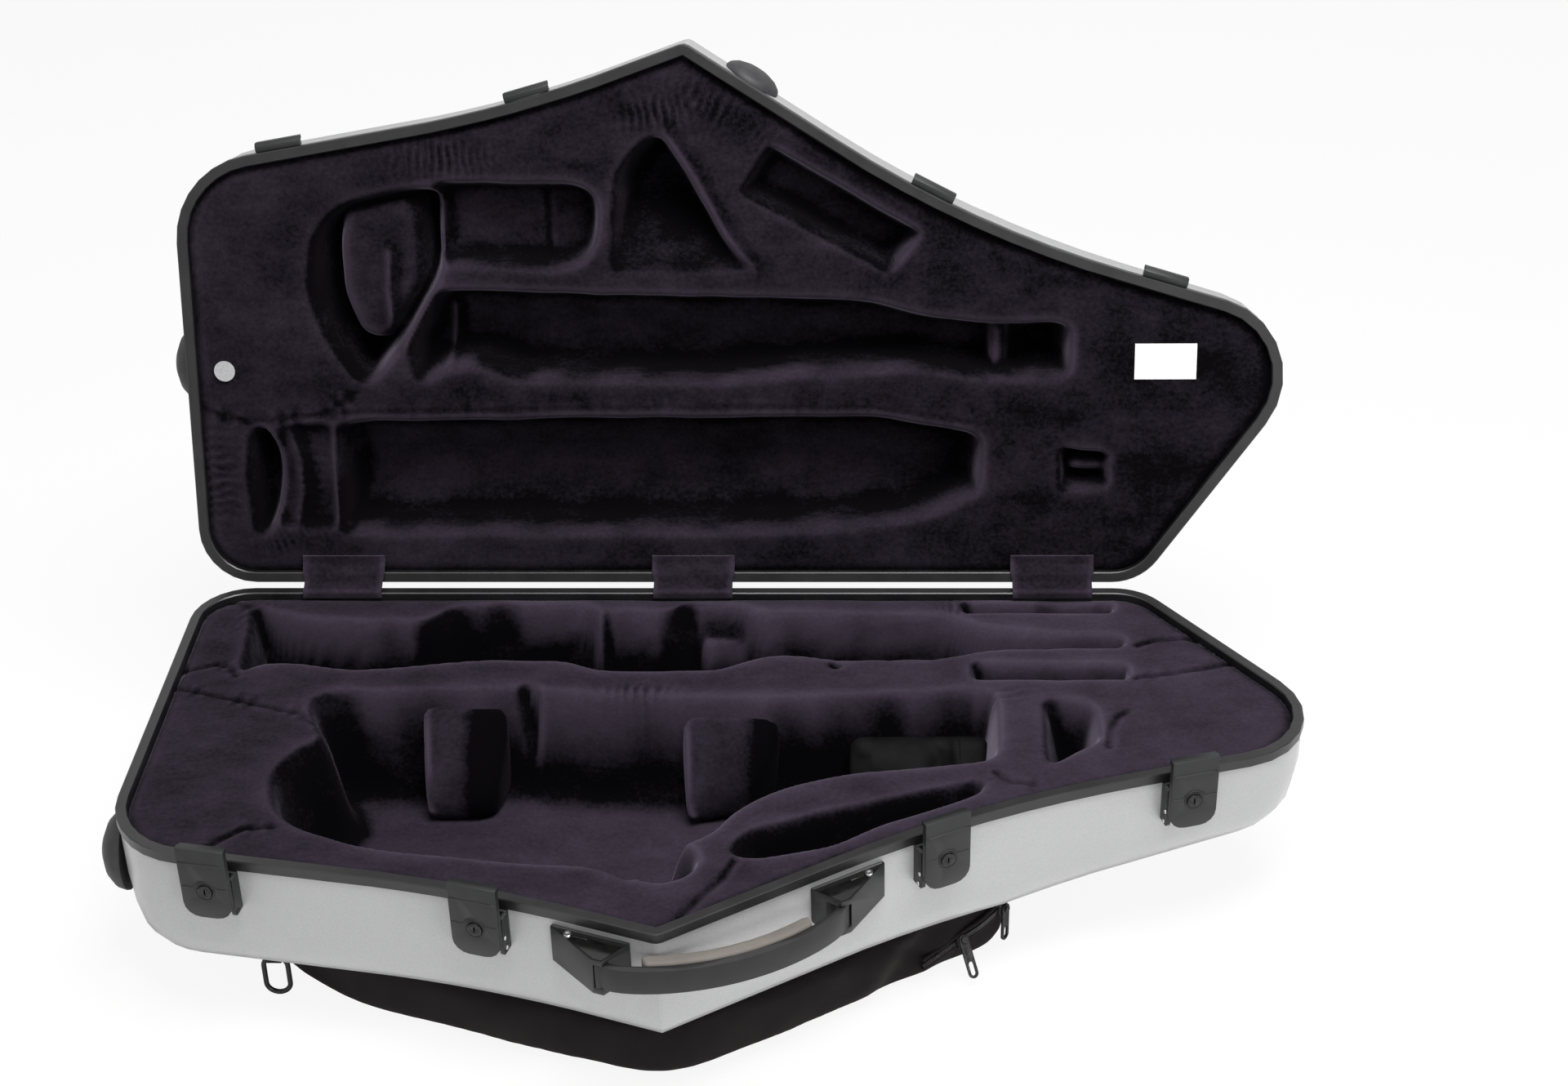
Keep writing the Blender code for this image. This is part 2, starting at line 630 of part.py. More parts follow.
def make_lid_lining():
    body = lining_body(LID_DEPTH)
    channel = cut(well(BELL_CHANNEL_SHARES, LID_BELL_DEPTH),
                  prism(plan(BELL_ISLAND_SHARES), -LID_BELL_DEPTH - CUT_OVERRUN, 2 * CUT_OVERRUN))
    island_top = prism(grown(BELL_ISLAND_SHARES, SEAT_GAP), -LINING_TOP_DEPTH - LINING_CROWN, CUT_OVERRUN)
    body = cut(
        body,
        channel,
        island_top,
        well(LOWER_TROUGH_SHARES, LID_TROUGH_DEPTH),
        well(CRESCENT_SHARES, LID_POCKET_DEPTH),
        well(UPPER_TROUGH_SHARES, LID_TROUGH_DEPTH),
        well(ROUND_POCKET_SHARES, LID_POCKET_DEPTH),
        well(NOSE_WELL_SHARES, LID_WELL_DEPTH),
        well(TILTED_POCKET_SHARES, LID_POCKET_DEPTH),
        well(SMALL_POCKET_SHARES, LID_POCKET_DEPTH),
    )
    add_lid_object("lid_lining", upside_down(body), "plush")


def make_lid_fittings():
    surface = LINING_TOP_DEPTH - SEAT_GAP
    x, y = at_x(STUD_SHARES[0]), at_y(STUD_SHARES[1])
    stud = rod((x, y, surface), (x, y, surface - STUD_HEIGHT), STUD_RADIUS, ROUND_SIDES)
    socket = rod((x, y, surface - STUD_HEIGHT - CUT_OVERRUN), (x, y, surface - STUD_HEIGHT + STUD_SOCKET_DEPTH),
                 STUD_SOCKET_RADIUS)
    add_lid_object("snap_stud", cut(stud, socket), "silver_metal", smooth=True)
    x, y = at_x(LABEL_SHARES[0]), at_y(LABEL_SHARES[1])
    label = block(x - LABEL_LENGTH / 2, x + LABEL_LENGTH / 2, y - LABEL_WIDTH / 2, y + LABEL_WIDTH / 2,
                  surface - LABEL_THICKNESS, surface)
    add_lid_object("label_plate", label, "label_white")


def knuckle(x_low, x_high):
    """A hinge knuckle along the hinge line, with the tab that joins it to a leaf below it."""
    barrel = rod((x_low, 0, 0), (x_high, 0, 0), HINGE_KNUCKLE_RADIUS)
    back = -HINGE_SETBACK + SEAT_GAP
    tab = block(x_low, x_high, back, back + HINGE_LEAF_THICKNESS, -HINGE_LEAF_CLEARANCE - HINGE_LEAF_THICKNESS, 0)
    return joined(barrel, tab)


def hinge_leaf(centre, spans):
    back = -HINGE_SETBACK + SEAT_GAP
    plate = block(centre - HINGE_LENGTH / 2, centre + HINGE_LENGTH / 2, back, back + HINGE_LEAF_THICKNESS,
                  -HINGE_LEAF_HEIGHT, -HINGE_LEAF_CLEARANCE)
    leaf = joined(plate, *[knuckle(low, high) for low, high in spans])
    hole = rod((centre - HINGE_LENGTH, 0, 0), (centre + HINGE_LENGTH, 0, 0), HINGE_PIN_RADIUS + PIN_CLEARANCE)
    return cut(leaf, hole)


def make_hinge(name, share):
    centre = at_x(share)
    left = centre - HINGE_LENGTH / 2
    inner = HINGE_LENGTH * HINGE_KNUCKLE_SHARE
    outer_spans = [(left, left + inner), (left + HINGE_LENGTH - inner, left + HINGE_LENGTH)]
    middle_span = [(left + inner + SEAT_GAP, left + HINGE_LENGTH - inner - SEAT_GAP)]
    on_axis = HINGE_LINE + Vector((centre, 0, 0))
    base_leaf = hinge_leaf(centre, outer_spans)
    add_object("hinge_leaf_base_" + name, moved(base_leaf, STANDING), "dark_metal", on_axis)
    lid_leaf = moved(upside_down(hinge_leaf(centre, middle_span)), OPENING)
    add_object("hinge_leaf_lid_" + name, lid_leaf, "dark_metal", on_axis)
    pin = rod((left, 0, 0), (left + HINGE_LENGTH, 0, 0), HINGE_PIN_RADIUS)
    add_object("hinge_pin_" + name, moved(pin, STANDING), "silver_metal", on_axis, smooth=True)


def ribbon(points, half):
    """A closed section of even thickness round a bent line of (first, second) points."""
    sides = ([], [])
    for i, point in enumerate(points):
        before = (point - points[max(0, i - 1)]).normalized() if i else (points[1] - point).normalized()
        after = (points[i + 1] - point).normalized() if i + 1 < len(points) else before
        along = (before + after).normalized()
        reach = half / along.dot(after)
        normal = Vector((-along.y, along.x))
        sides[0].append(point + normal * reach)
        sides[1].append(point - normal * reach)
    return sides[0] + sides[1][::-1]


def on_lid_plane(distance, height):
    """A (y, z) point of the open lid, from its distance up the lid and its height above the lid's rim plane."""
    turned = Matrix.Rotation(-OPEN_ANGLE, 3, "X") @ Vector((0, -distance, -height))
    return Vector((turned.y, turned.z))


def make_hinge_cloth(name, share):
    """A plush flap from behind the base rim, over both rims in front of the hinge, to the lid's lining."""
    half = HINGE_CLOTH_THICKNESS / 2
    over = SEAT_GAP + half
    inner_face = HINGE_SETBACK + RIM_WIDTH + SEAT_GAP + half
    bend = HINGE_CLOTH_BEND_RADIUS
    line = [Vector((-inner_face, -HINGE_CLOTH_TUCK)), Vector((-inner_face, over - bend))]
    line.append(Vector((-inner_face + bend, over)))
    start = Vector((-(HINGE_SETBACK + RIM_WIDTH - bend), over))
    end = on_lid_plane(HINGE_SETBACK + RIM_WIDTH - bend, over)
    opening = (math.pi - OPEN_ANGLE) / 2
    corner = Vector((-over * math.tan(opening), over))
    radius = (start - corner).length / math.tan(opening)
    centre = start + Vector((0, radius))
    for step in range(HINGE_CLOTH_STEPS + 1):
        turn = (math.pi - OPEN_ANGLE) * step / HINGE_CLOTH_STEPS
        line.append(centre + Vector((math.sin(turn), -math.cos(turn))) * radius)
    low = LINING_TOP_DEPTH - SEAT_GAP - half
    line.append(on_lid_plane(HINGE_SETBACK + RIM_WIDTH, over))
    line.append(on_lid_plane(HINGE_SETBACK + RIM_WIDTH + LINING_CROWN + HINGE_CLOTH_SLOPE, -low))
    line.append(on_lid_plane(HINGE_CLOTH_LID_REACH, -low))
    section = ribbon(line, half)
    left = at_x(share) - HINGE_CLOTH_LENGTH / 2
    rings = [[(x, y, z) for y, z in section] for x in (left, left + HINGE_CLOTH_LENGTH)]
    origin = HINGE_LINE + Vector((at_x(share), 0, 0))
    add_object("hinge_cloth_" + name, moved(loft(rings), STANDING), "plush", origin, smooth=True)


def wall_frame(share, width, inset=0.0):
    """Where a fitting of some width sits on the front wall: X along the wall, +Y into the case, at the rim plane."""
    outline = case_outline(inset)
    front = [(a, b) for a, b in zip(outline, outline[1:]) if b.x > a.x]
    middle = point_at(front, at_x(share))
    ends = []
    for side in (-1, 1):
        low, high = 0.0, width
        reach = width / 2
        for _ in range(WALL_FIT_STEPS):
            step = (low + high) / 2
            found = point_at(front, middle.x + side * step)
            if (found - middle).length < reach:
                low = step
            else:
                high = step
        ends.append(found)
    along = (ends[1] - ends[0]).normalized()
    centre = (ends[0] + ends[1]) / 2
    return Matrix.Translation((centre.x, centre.y, 0)) @ Matrix.Rotation(math.atan2(along.y, along.x), 4, "Z")


def point_at(edges, x):
    for a, b in edges:
        if a.x <= x <= b.x:
            return a + (b - a) * (x - a.x) / (b.x - a.x)
    return edges[-1][1]


def side_prism(profile, x_low, x_high):
    """A prism along X from a profile of (outward, height) pairs. Outward is -Y."""
    rings = [[(x, -out, up) for out, up in profile] for x in (x_low, x_high)]
    return loft(rings)


def arc(centre, radius, start, end, steps):
    """Points on an arc of a (first, second) plane, angles in degrees from the first axis."""
    points = []
    for step in range(steps + 1):
        angle = math.radians(start + (end - start) * step / steps)
        points.append((centre[0] + radius * math.cos(angle), centre[1] + radius * math.sin(angle)))
    return points


def latch_bracket():
    """A back plate on the wall and two cheeks that carry the pivot pin. Local origin: rim plane, wall face."""
    wall = -(RIM_SKIN + SEAT_GAP) + SEAT_GAP
    low = -PIVOT_DEPTH - EYE_RADIUS
    high = -RIM_BAND_HEIGHT - 2 * SEAT_GAP
    half = LATCH_WIDTH / 2
    plate = side_prism([(wall, low), (wall + BRACKET_PLATE_THICKNESS, low), (wall + BRACKET_PLATE_THICKNESS, high),
                        (wall, high)], -half, half)
    pivot = (PIVOT_STANDOFF, -PIVOT_DEPTH)
    cheek_front = PIVOT_STANDOFF + EYE_RADIUS
    profile = [(wall + BRACKET_PLATE_THICKNESS / 2, low)]
    profile += arc(pivot, EYE_RADIUS, -90, 0, EDGE_STEPS)
    profile.append((cheek_front - CHEEK_TOP_SETBACK, -PIVOT_DEPTH + CHEEK_HEIGHT))
    profile.append((wall + BRACKET_PLATE_THICKNESS / 2, -PIVOT_DEPTH + CHEEK_HEIGHT))
    body = joined(plate, side_prism(profile, -half, -half + CHEEK_THICKNESS),
                  side_prism(profile, half - CHEEK_THICKNESS, half))
    hole = rod((-LATCH_WIDTH, -PIVOT_STANDOFF, -PIVOT_DEPTH), (LATCH_WIDTH, -PIVOT_STANDOFF, -PIVOT_DEPTH),
               PIVOT_RADIUS + PIN_CLEARANCE)
    return cut(body, hole)


def latch_lever():
    """The lever's plate with its rounded foot, a lip at the top, and a tongue with an eye round the pivot."""
    half = LATCH_WIDTH / 2
    inner = -LEVER_PLATE_INNER
    outer = inner - LEVER_PLATE_THICKNESS
    radius = LEVER_CORNER_RADIUS
    foot = arc((-half + radius, -LEVER_BELOW_RIM + radius), radius, 180, 270, EDGE_STEPS)
    foot += arc((half - radius, -LEVER_BELOW_RIM + radius), radius, 270, 360, EDGE_STEPS)
    outline = foot + [(half, LEVER_ABOVE_RIM), (-half, LEVER_ABOVE_RIM)]
    plate = loft([[(x, y, z) for x, z in outline] for y in (outer, inner)])
    lip = side_prism([(LEVER_PLATE_INNER - LEVER_LIP_REACH, LEVER_ABOVE_RIM - LEVER_LIP_HEIGHT),
                      (LEVER_PLATE_INNER + LEVER_PLATE_THICKNESS / 2, LEVER_ABOVE_RIM - LEVER_LIP_HEIGHT),
                      (LEVER_PLATE_INNER + LEVER_PLATE_THICKNESS / 2, LEVER_ABOVE_RIM - RIM_EDGE_ROUND),
                      (LEVER_PLATE_INNER - LEVER_LIP_REACH, LEVER_ABOVE_RIM - RIM_EDGE_ROUND)],
                     -half + RIM_EDGE_ROUND, half - RIM_EDGE_ROUND)
    pivot = (PIVOT_STANDOFF, -PIVOT_DEPTH)
    eye = arc(pivot, EYE_RADIUS, 90, 270, 2 * EDGE_STEPS)
    eye.append((LEVER_PLATE_INNER + LEVER_PLATE_THICKNESS / 2, -PIVOT_DEPTH - EYE_RADIUS / 2))
    eye.append((LEVER_PLATE_INNER + LEVER_PLATE_THICKNESS / 2, -PIVOT_DEPTH + TONGUE_HEIGHT))
    eye.append((PIVOT_STANDOFF + EYE_RADIUS / 2, -PIVOT_DEPTH + TONGUE_HEIGHT))
    tongue = side_prism(eye, -TONGUE_WIDTH / 2, TONGUE_WIDTH / 2)
    body = joined(plate, lip, tongue)
    hole = rod((-LATCH_WIDTH, -PIVOT_STANDOFF, -PIVOT_DEPTH), (LATCH_WIDTH, -PIVOT_STANDOFF, -PIVOT_DEPTH),
               PIVOT_RADIUS + PIN_CLEARANCE)
    lock_hole = rod((0, outer - CUT_OVERRUN, -KEYHOLE_DEPTH), (0, inner + CUT_OVERRUN, -KEYHOLE_DEPTH),
                    LOCK_RADIUS + PIN_CLEARANCE, ROUND_SIDES)
    return cut(body, hole, lock_hole)


def lock_cylinder():
    inner = -LEVER_PLATE_INNER
    front = inner - LEVER_PLATE_THICKNESS - LOCK_PROUD
    body = rod((0, inner, -KEYHOLE_DEPTH), (0, front, -KEYHOLE_DEPTH), LOCK_RADIUS, ROUND_SIDES)
    slot = block(-KEY_SLOT_WIDTH / 2, KEY_SLOT_WIDTH / 2, front - CUT_OVERRUN, front + KEY_SLOT_DEPTH,
                 -KEYHOLE_DEPTH - KEY_SLOT_LENGTH / 2, -KEYHOLE_DEPTH + KEY_SLOT_LENGTH / 2)
    return cut(body, slot)


def keeper():
    """The hook on the closed lid's rim that the lever's lip goes over, above the rim plane."""
    low = KEEPER_BASE_HEIGHT
    high = low + KEEPER_HEIGHT
    back = SEAT_GAP
    profile = [
        (back, low), (KEEPER_REACH - KEEPER_HOOK_THICKNESS, low), (KEEPER_REACH, low + KEEPER_HOOK_THICKNESS),
        (KEEPER_REACH, high), (KEEPER_REACH - KEEPER_HOOK_THICKNESS, high),
        (KEEPER_REACH - KEEPER_HOOK_THICKNESS, high - KEEPER_HOOK_THICKNESS), (back, high - KEEPER_HOOK_THICKNESS),
    ]
    half = LATCH_WIDTH / 2
    return side_prism(profile, -half, half)


def make_latch(number, share):
    frame = wall_frame(share, LATCH_WIDTH)
    standing = STANDING @ frame
    pivot = standing @ Vector((0, -PIVOT_STANDOFF, -PIVOT_DEPTH))
    keyhole = standing @ Vector((0, -LEVER_PLATE_INNER - LEVER_PLATE_THICKNESS, -KEYHOLE_DEPTH))
    half = LATCH_WIDTH / 2
    pin = rod((-half, -PIVOT_STANDOFF, -PIVOT_DEPTH), (half, -PIVOT_STANDOFF, -PIVOT_DEPTH), PIVOT_RADIUS)
    add_object("latch_bracket_%d" % number, moved(latch_bracket(), standing), "latch_black", pivot)
    add_object("latch_lever_%d" % number, moved(latch_lever(), standing), "latch_black", pivot)
    add_object("latch_pin_%d" % number, moved(pin, standing), "silver_metal", pivot, smooth=True)
    add_object("lock_cylinder_%d" % number, moved(lock_cylinder(), standing), "latch_black", keyhole, smooth=True)
    add_lid_object("keeper_%d" % number, moved(keeper(), frame), "latch_black")


def strap_pivot(share, side):
    """The upright handle pin's middle in one bracket, just inside the wedge's nose."""
    frame = wall_frame(share, BRACKET_LENGTH)
    nose = -side * BRACKET_NOSE_SHARE * BRACKET_LENGTH
    local = Vector((nose, -BRACKET_REACH + HANDLE_EYE_RADIUS, -BRACKET_DEPTH - BRACKET_HEIGHT / 2))
    return STANDING @ frame @ local


def handle_frame(side):
    """A frame at one handle pin with X along the line from the left pin to the right one, +Y inward and Z up."""
    left = strap_pivot(HANDLE_BRACKET_SHARES[0], -1)
    right = strap_pivot(HANDLE_BRACKET_SHARES[1], 1)
    along = (right - left).normalized()
    inward = Vector((0, 0, 1)).cross(along)
    turn = Matrix((along, inward, Vector((0, 0, 1)))).transposed().to_4x4()
    return Matrix.Translation(left if side < 0 else right) @ turn


def make_handle_bracket(name, share, side):
    """A wedge with its nose towards the handle's middle, notched for the strap's eye, and its upright pin."""
    frame = STANDING @ wall_frame(share, BRACKET_LENGTH)
    half = BRACKET_LENGTH / 2
    wall = RIM_SKIN
    front = wall - BRACKET_END_THICKNESS
    nose = -side * BRACKET_NOSE_SHARE * BRACKET_LENGTH
    points = [Vector((-half, wall)), Vector((-half, front)), Vector((nose - BRACKET_NOSE_LENGTH / 2, -BRACKET_REACH)),
              Vector((nose + BRACKET_NOSE_LENGTH / 2, -BRACKET_REACH)), Vector((half, front)), Vector((half, wall))]
    body = moved(prism(points, -BRACKET_DEPTH - BRACKET_HEIGHT, -BRACKET_DEPTH), frame)
    local = handle_frame(side)
    room = HANDLE_EYE_RADIUS + PIN_CLEARANCE
    ends = sorted((side * room, -side * BRACKET_LENGTH))
    half_notch = STRAP_WIDTH / 2 + SEAT_GAP
    notch = block(ends[0], ends[1], -BRACKET_LENGTH, room, -half_notch, half_notch)
    half_pin = half_notch + HANDLE_PIN_SEAT
    hole = rod((0, 0, -half_pin - SEAT_GAP), (0, 0, half_pin + SEAT_GAP), HANDLE_PIN_RADIUS + PIN_CLEARANCE)
    body = cut(body, moved(notch, local), moved(hole, local))
    add_object("handle_bracket_" + name, body, "latch_black", local.translation)
    pin = rod((0, 0, -half_pin), (0, 0, half_pin), HANDLE_PIN_RADIUS)
    add_object("handle_pin_" + name, moved(pin, local), "silver_metal", local.translation, smooth=True)


def strap_middle(share, span):
    """The strap's middle line, which bows out from the line between the two pins."""
    lift = math.sin(math.pi * min(1.0, max(0.0, share)))
    return Vector((span * share, -STRAP_BULGE * lift ** STRAP_BEND_POWER, 0))


def band(shares, span, inner, outer):
    """A flat upright band that follows the strap's middle line between two offsets along its normal."""
    half_width = STRAP_WIDTH / 2
    rings = []
    for share in shares:
        here = strap_middle(share, span)
        ahead = strap_middle(share + STRAP_TANGENT_SHARE, span)
        behind = strap_middle(share - STRAP_TANGENT_SHARE, span)
        along = (ahead - behind).normalized()
        outward = Vector((along.y, -along.x, 0))
        near, far = here + outward * inner, here + outward * outer
        rings.append([(near.x, near.y, -half_width), (far.x, far.y, -half_width), (far.x, far.y, half_width),
                      (near.x, near.y, half_width)])
    return loft(rings)


def spread(start, end, steps):
    """Shares from start to end, closer together towards both ends."""
    return [start + (end - start) * (1 - math.cos(math.pi * step / steps)) / 2 for step in range(steps + 1)]


def make_handle():
    frame = handle_frame(-1)
    span = (handle_frame(1).translation - frame.translation).length
    half = STRAP_THICKNESS / 2
    strap = band(spread(0.0, 1.0, STRAP_STEPS), span, -half, half)
    ends = [rod((x, 0, -STRAP_WIDTH / 2), (x, 0, STRAP_WIDTH / 2), HANDLE_EYE_RADIUS) for x in (0, span)]
    holes = [rod((x, 0, -STRAP_WIDTH), (x, 0, STRAP_WIDTH), HANDLE_PIN_RADIUS + PIN_CLEARANCE) for x in (0, span)]
    strap = cut(joined(strap, *ends), *holes)
    add_object("handle_strap", moved(strap, frame), "strap_black", frame.translation, smooth=True)
    grip_shares = spread(GRIP_START_SHARE, 1 - GRIP_START_SHARE, GRIP_STEPS)
    grip = band(grip_shares, span, -half - GRIP_THICKNESS, -half - SEAT_GAP)
    add_object("handle_grip", moved(grip, frame), "grip_taupe", frame.translation, smooth=True)


def pocket_outline(inset):
    steps = [POCKET_CORNER_STEPS] * len(POCKET_SHARES)
    return offset_corners(plan(POCKET_SHARES), POCKET_RADII, steps, inset)


def pull_frame(share, depth, lean):
    """A frame on the pocket's front: X out of the pocket, leaning up by lean degrees, and Z up its face."""
    outline = pocket_outline(0)
    x = at_x(share)
    a, b = next((a, b) for a, b in zip(outline, outline[1:]) if a.x <= x < b.x)
    along = (b - a).normalized()
    point = a + (b - a) * (x - a.x) / (b.x - a.x)
    turn = Matrix.Rotation(math.atan2(-along.x, along.y), 4, "Z") @ Matrix.Rotation(-math.radians(lean), 4, "Y")
    out = ZIP_PULL_WIDTH / 2 * math.sin(math.radians(lean))
    place = Vector((point.x + along.y * out, point.y - along.x * out, -BASE_DEPTH - depth))
    return STANDING @ Matrix.Translation(place) @ turn


def zip_lug():
    """The end of a zip slider: a headed peg that a pull hangs on, rooted in the pocket."""
    neck = ZIP_PULL_THICKNESS + 2 * ZIP_PULL_CLEARANCE
    peg = rod((-ZIP_LUG_ROOT, 0, 0), (neck + ZIP_LUG_HEAD_THICKNESS / 2, 0, 0), ZIP_LUG_RADIUS)
    head = rod((neck, 0, 0), (neck + ZIP_LUG_HEAD_THICKNESS, 0, 0), ZIP_LUG_HEAD_RADIUS)
    return joined(peg, head)


def zip_pull():
    """A flat pull with an eye round the peg and a slot near its foot."""
    half = ZIP_PULL_WIDTH / 2
    near, far = ZIP_PULL_CLEARANCE, ZIP_PULL_CLEARANCE + ZIP_PULL_THICKNESS
    outline = arc((0, 0), half, 0, 180, 2 * EDGE_STEPS) + arc((0, -ZIP_PULL_LENGTH), half, 180, 360, 2 * EDGE_STEPS)
    plate = loft([[(x, y, z) for y, z in outline] for x in (near, far)])
    through = (near - ZIP_PULL_THICKNESS, far + ZIP_PULL_THICKNESS)
    hole = rod((through[0], 0, 0), (through[1], 0, 0), ZIP_LUG_RADIUS + PIN_CLEARANCE)
    slot_outline = arc((0, ZIP_PULL_SLOT_LENGTH - ZIP_PULL_LENGTH), half / 2, 0, 180, EDGE_STEPS)
    slot_outline += arc((0, -ZIP_PULL_LENGTH), half / 2, 180, 360, EDGE_STEPS)
    slot = loft([[(x, y, z) for y, z in slot_outline] for x in through])
    return cut(plate, hole, slot)


def make_pocket():
    """The cloth pocket under the base, flat underneath, with the two zip pulls on it."""
    rings = []
    for angle in quarter(EDGE_STEPS)[::-1]:
        inset = POCKET_EDGE_RADIUS * (1 - math.cos(angle))
        down = RIM_HEIGHT - POCKET_EDGE_RADIUS * (1 - math.sin(angle))
        rings.append(level_ring(pocket_outline(inset), -down))
    rings.append(level_ring(pocket_outline(0), -BASE_DEPTH - SEAT_GAP))
    body = moved(loft(rings), STANDING)
    pulls = {
        "upper": (ZIP_UPPER_SHARE, ZIP_UPPER_DEPTH, ZIP_UPPER_LEAN_DEG),
        "lower": (ZIP_LOWER_SHARE, ZIP_LOWER_DEPTH, ZIP_LOWER_LEAN_DEG),
    }
    for name, place in pulls.items():
        frame = pull_frame(*place)
        body = joined(body, moved(zip_lug(), frame))
        add_object("zip_pull_" + name, moved(zip_pull(), frame), "dark_metal", frame.translation)
    add_object("pocket", body, "pocket_cloth")


def make_ring():
    """A webbing tab under the floor, by the pocket's front left corner, and the oval ring that hangs in it."""
    hole_depth = BASE_DEPTH + TAB_DROP - TAB_HOLE_RADIUS - TAB_HOLE_EDGE
    place = Vector((at_x(RING_SHARES[0]), at_y(RING_SHARES[1]), -hole_depth))
    frame = STANDING @ Matrix.Translation(place)
    half = TAB_THICKNESS / 2
    tab = block(-half, half, -TAB_WIDTH / 2, TAB_WIDTH / 2, -TAB_HOLE_RADIUS - TAB_HOLE_EDGE,
                hole_depth - BASE_DEPTH - SEAT_GAP)
    hole = rod((-TAB_THICKNESS, 0, 0), (TAB_THICKNESS, 0, 0), TAB_HOLE_RADIUS)
    add_object("ring_tab", moved(cut(tab, hole), frame), "pocket_cloth", frame.translation)
    sag = TAB_HOLE_RADIUS - RING_WIRE_RADIUS - 2 * SEAT_GAP
    radius = RING_WIDTH / 2
    straight = RING_HEIGHT / 2 - radius
    path = arc((0, straight), radius, 0, 180, RING_ARC_STEPS) + arc((0, -straight), radius, 180, 360, RING_ARC_STEPS)
    rings = []
    for i, (x, z) in enumerate(path):
        ahead = Vector(path[(i + 1) % len(path)])
        along = (ahead - Vector(path[i - 1])).normalized()
        side = Vector((along.y, 0, -along.x))
        here = Vector((x, 0, z - sag - RING_HEIGHT / 2))
        ring = []
        for step in range(RING_SIDES):
            angle = 2 * math.pi * step / RING_SIDES
            offset = side * math.cos(angle) + Vector((0, math.sin(angle), 0))
            ring.append(here + offset * RING_WIRE_RADIUS)
        rings.append(ring)
    ring = moved(loft(rings, closed=True), frame)
    add_object("hanging_ring", ring, "dark_metal", frame.translation, smooth=True)


def end_wall_seat(share, height):
    """A point just outside the shell's wide end, at a share of the case's width."""
    outline = case_outline(RIM_SKIN + SEAT_GAP)
    y = at_y(share)
    a, b = next((a, b) for a, b in zip(outline, outline[1:]) if a.y > y >= b.y and a.x < 0)
    return Vector((a.x + (b.x - a.x) * (y - a.y) / (b.y - a.y) - SEAT_GAP, y, height))


def make_feet():
    """Domed rubber feet: one on each half's wide end and one by the lid's nose."""
    lid_foot = foot(end_wall_seat(FOOT_LID_SHARE, FOOT_LID_DEPTH), (-1, 0, 0), FOOT_RADIUS, FOOT_REACH)
    add_lid_object("foot_lid_end", lid_foot, "foot_rubber", smooth=True)
    base_foot = foot(end_wall_seat(FOOT_BASE_SHARE, -FOOT_BASE_DEPTH), (-1, 0, 0), FOOT_RADIUS, FOOT_REACH)
    add_object("foot_base_end", moved(base_foot, STANDING), "foot_rubber", HINGE_LINE, smooth=True)
    frame = wall_frame(FOOT_NOSE_SHARE, 2 * FOOT_NOSE_RADIUS)
    outward = frame.to_3x3() @ Vector((0, -1, 0))
    seat = frame @ Vector((0, RIM_SKIN, LEAN_START_DEPTH - FOOT_NOSE_RADIUS / 2))
    nose_foot = foot(seat, outward, FOOT_NOSE_RADIUS, FOOT_NOSE_REACH)
    add_lid_object("foot_lid_nose", nose_foot, "foot_rubber", smooth=True)


def foot(seat, outward, radius, reach):
    """A flat-backed dome: rings of a quarter ellipse, turned to face outward."""
    rings = []
    for angle in quarter(EDGE_STEPS)[:-1]:
        ring_radius = radius * math.cos(angle)
        level = reach * math.sin(angle)
        ring = []
        for side in range(ROUND_SIDES):
            turn = 2 * math.pi * side / ROUND_SIDES
            ring.append((ring_radius * math.cos(turn), ring_radius * math.sin(turn), level))
        rings.append(ring)
    turn = Vector(outward).to_track_quat("Z", "Y").to_matrix().to_4x4()
    return moved(loft(rings), Matrix.Translation(seat) @ turn)


def make_pouch():
    """A soft leather pouch leaning on the tenor well's rear wall, with drawn-in sides and a crowned top."""
    half_length, half_width = POUCH_LENGTH / 2, POUCH_WIDTH / 2
    corners = [Vector((x * half_length, y * half_width)) for x, y in ((-1, -1), (1, -1), (1, 1), (-1, 1))]
    side = POUCH_HEIGHT - POUCH_CROWN
    rows = [(POUCH_SIDE_DRAW, 0), (0, side / 3), (0, side * 2 / 3), (POUCH_SIDE_DRAW, side)]
    for angle in quarter(EDGE_STEPS)[1:]:
        rows.append((POUCH_SIDE_DRAW + (POUCH_EDGE_REACH - POUCH_SIDE_DRAW) * (1 - math.cos(angle)),
                     side + POUCH_CROWN * math.sin(angle)))
    rings = []
    for inset, up in rows:
        ring = offset_corners(corners, [POUCH_CORNER + POUCH_EDGE_REACH] * 4, [EDGE_STEPS] * 4, inset)
        rings.append(level_ring(ring, up))
    lean = math.radians(POUCH_LEAN_DEG)
    low_edge = (half_width - POUCH_SIDE_DRAW) * math.sin(lean)
    place = Vector((at_x(POUCH_CENTRE_SHARES[0]), at_y(POUCH_CENTRE_SHARES[1]), low_edge + SEAT_GAP - TENOR_WELL_DEPTH))
    turn = Matrix.Rotation(math.radians(POUCH_TURN_DEG), 4, "Z") @ Matrix.Rotation(lean, 4, "X")
    frame = STANDING @ Matrix.Translation(place) @ turn
    add_object("accessory_pouch", moved(loft(rings), frame), "leather_black", HINGE_LINE, smooth=True)


def make_shells():
    add_object("base_shell", moved(shell(BASE_DEPTH), STANDING), "shell_grey", HINGE_LINE, smooth=True)
    add_object("base_rim", moved(rim(), STANDING), "rim_black", HINGE_LINE)
    add_lid_object("lid_shell", upside_down(shell(LID_DEPTH)), "shell_grey", smooth=True)
    add_lid_object("lid_rim", upside_down(rim()), "rim_black")


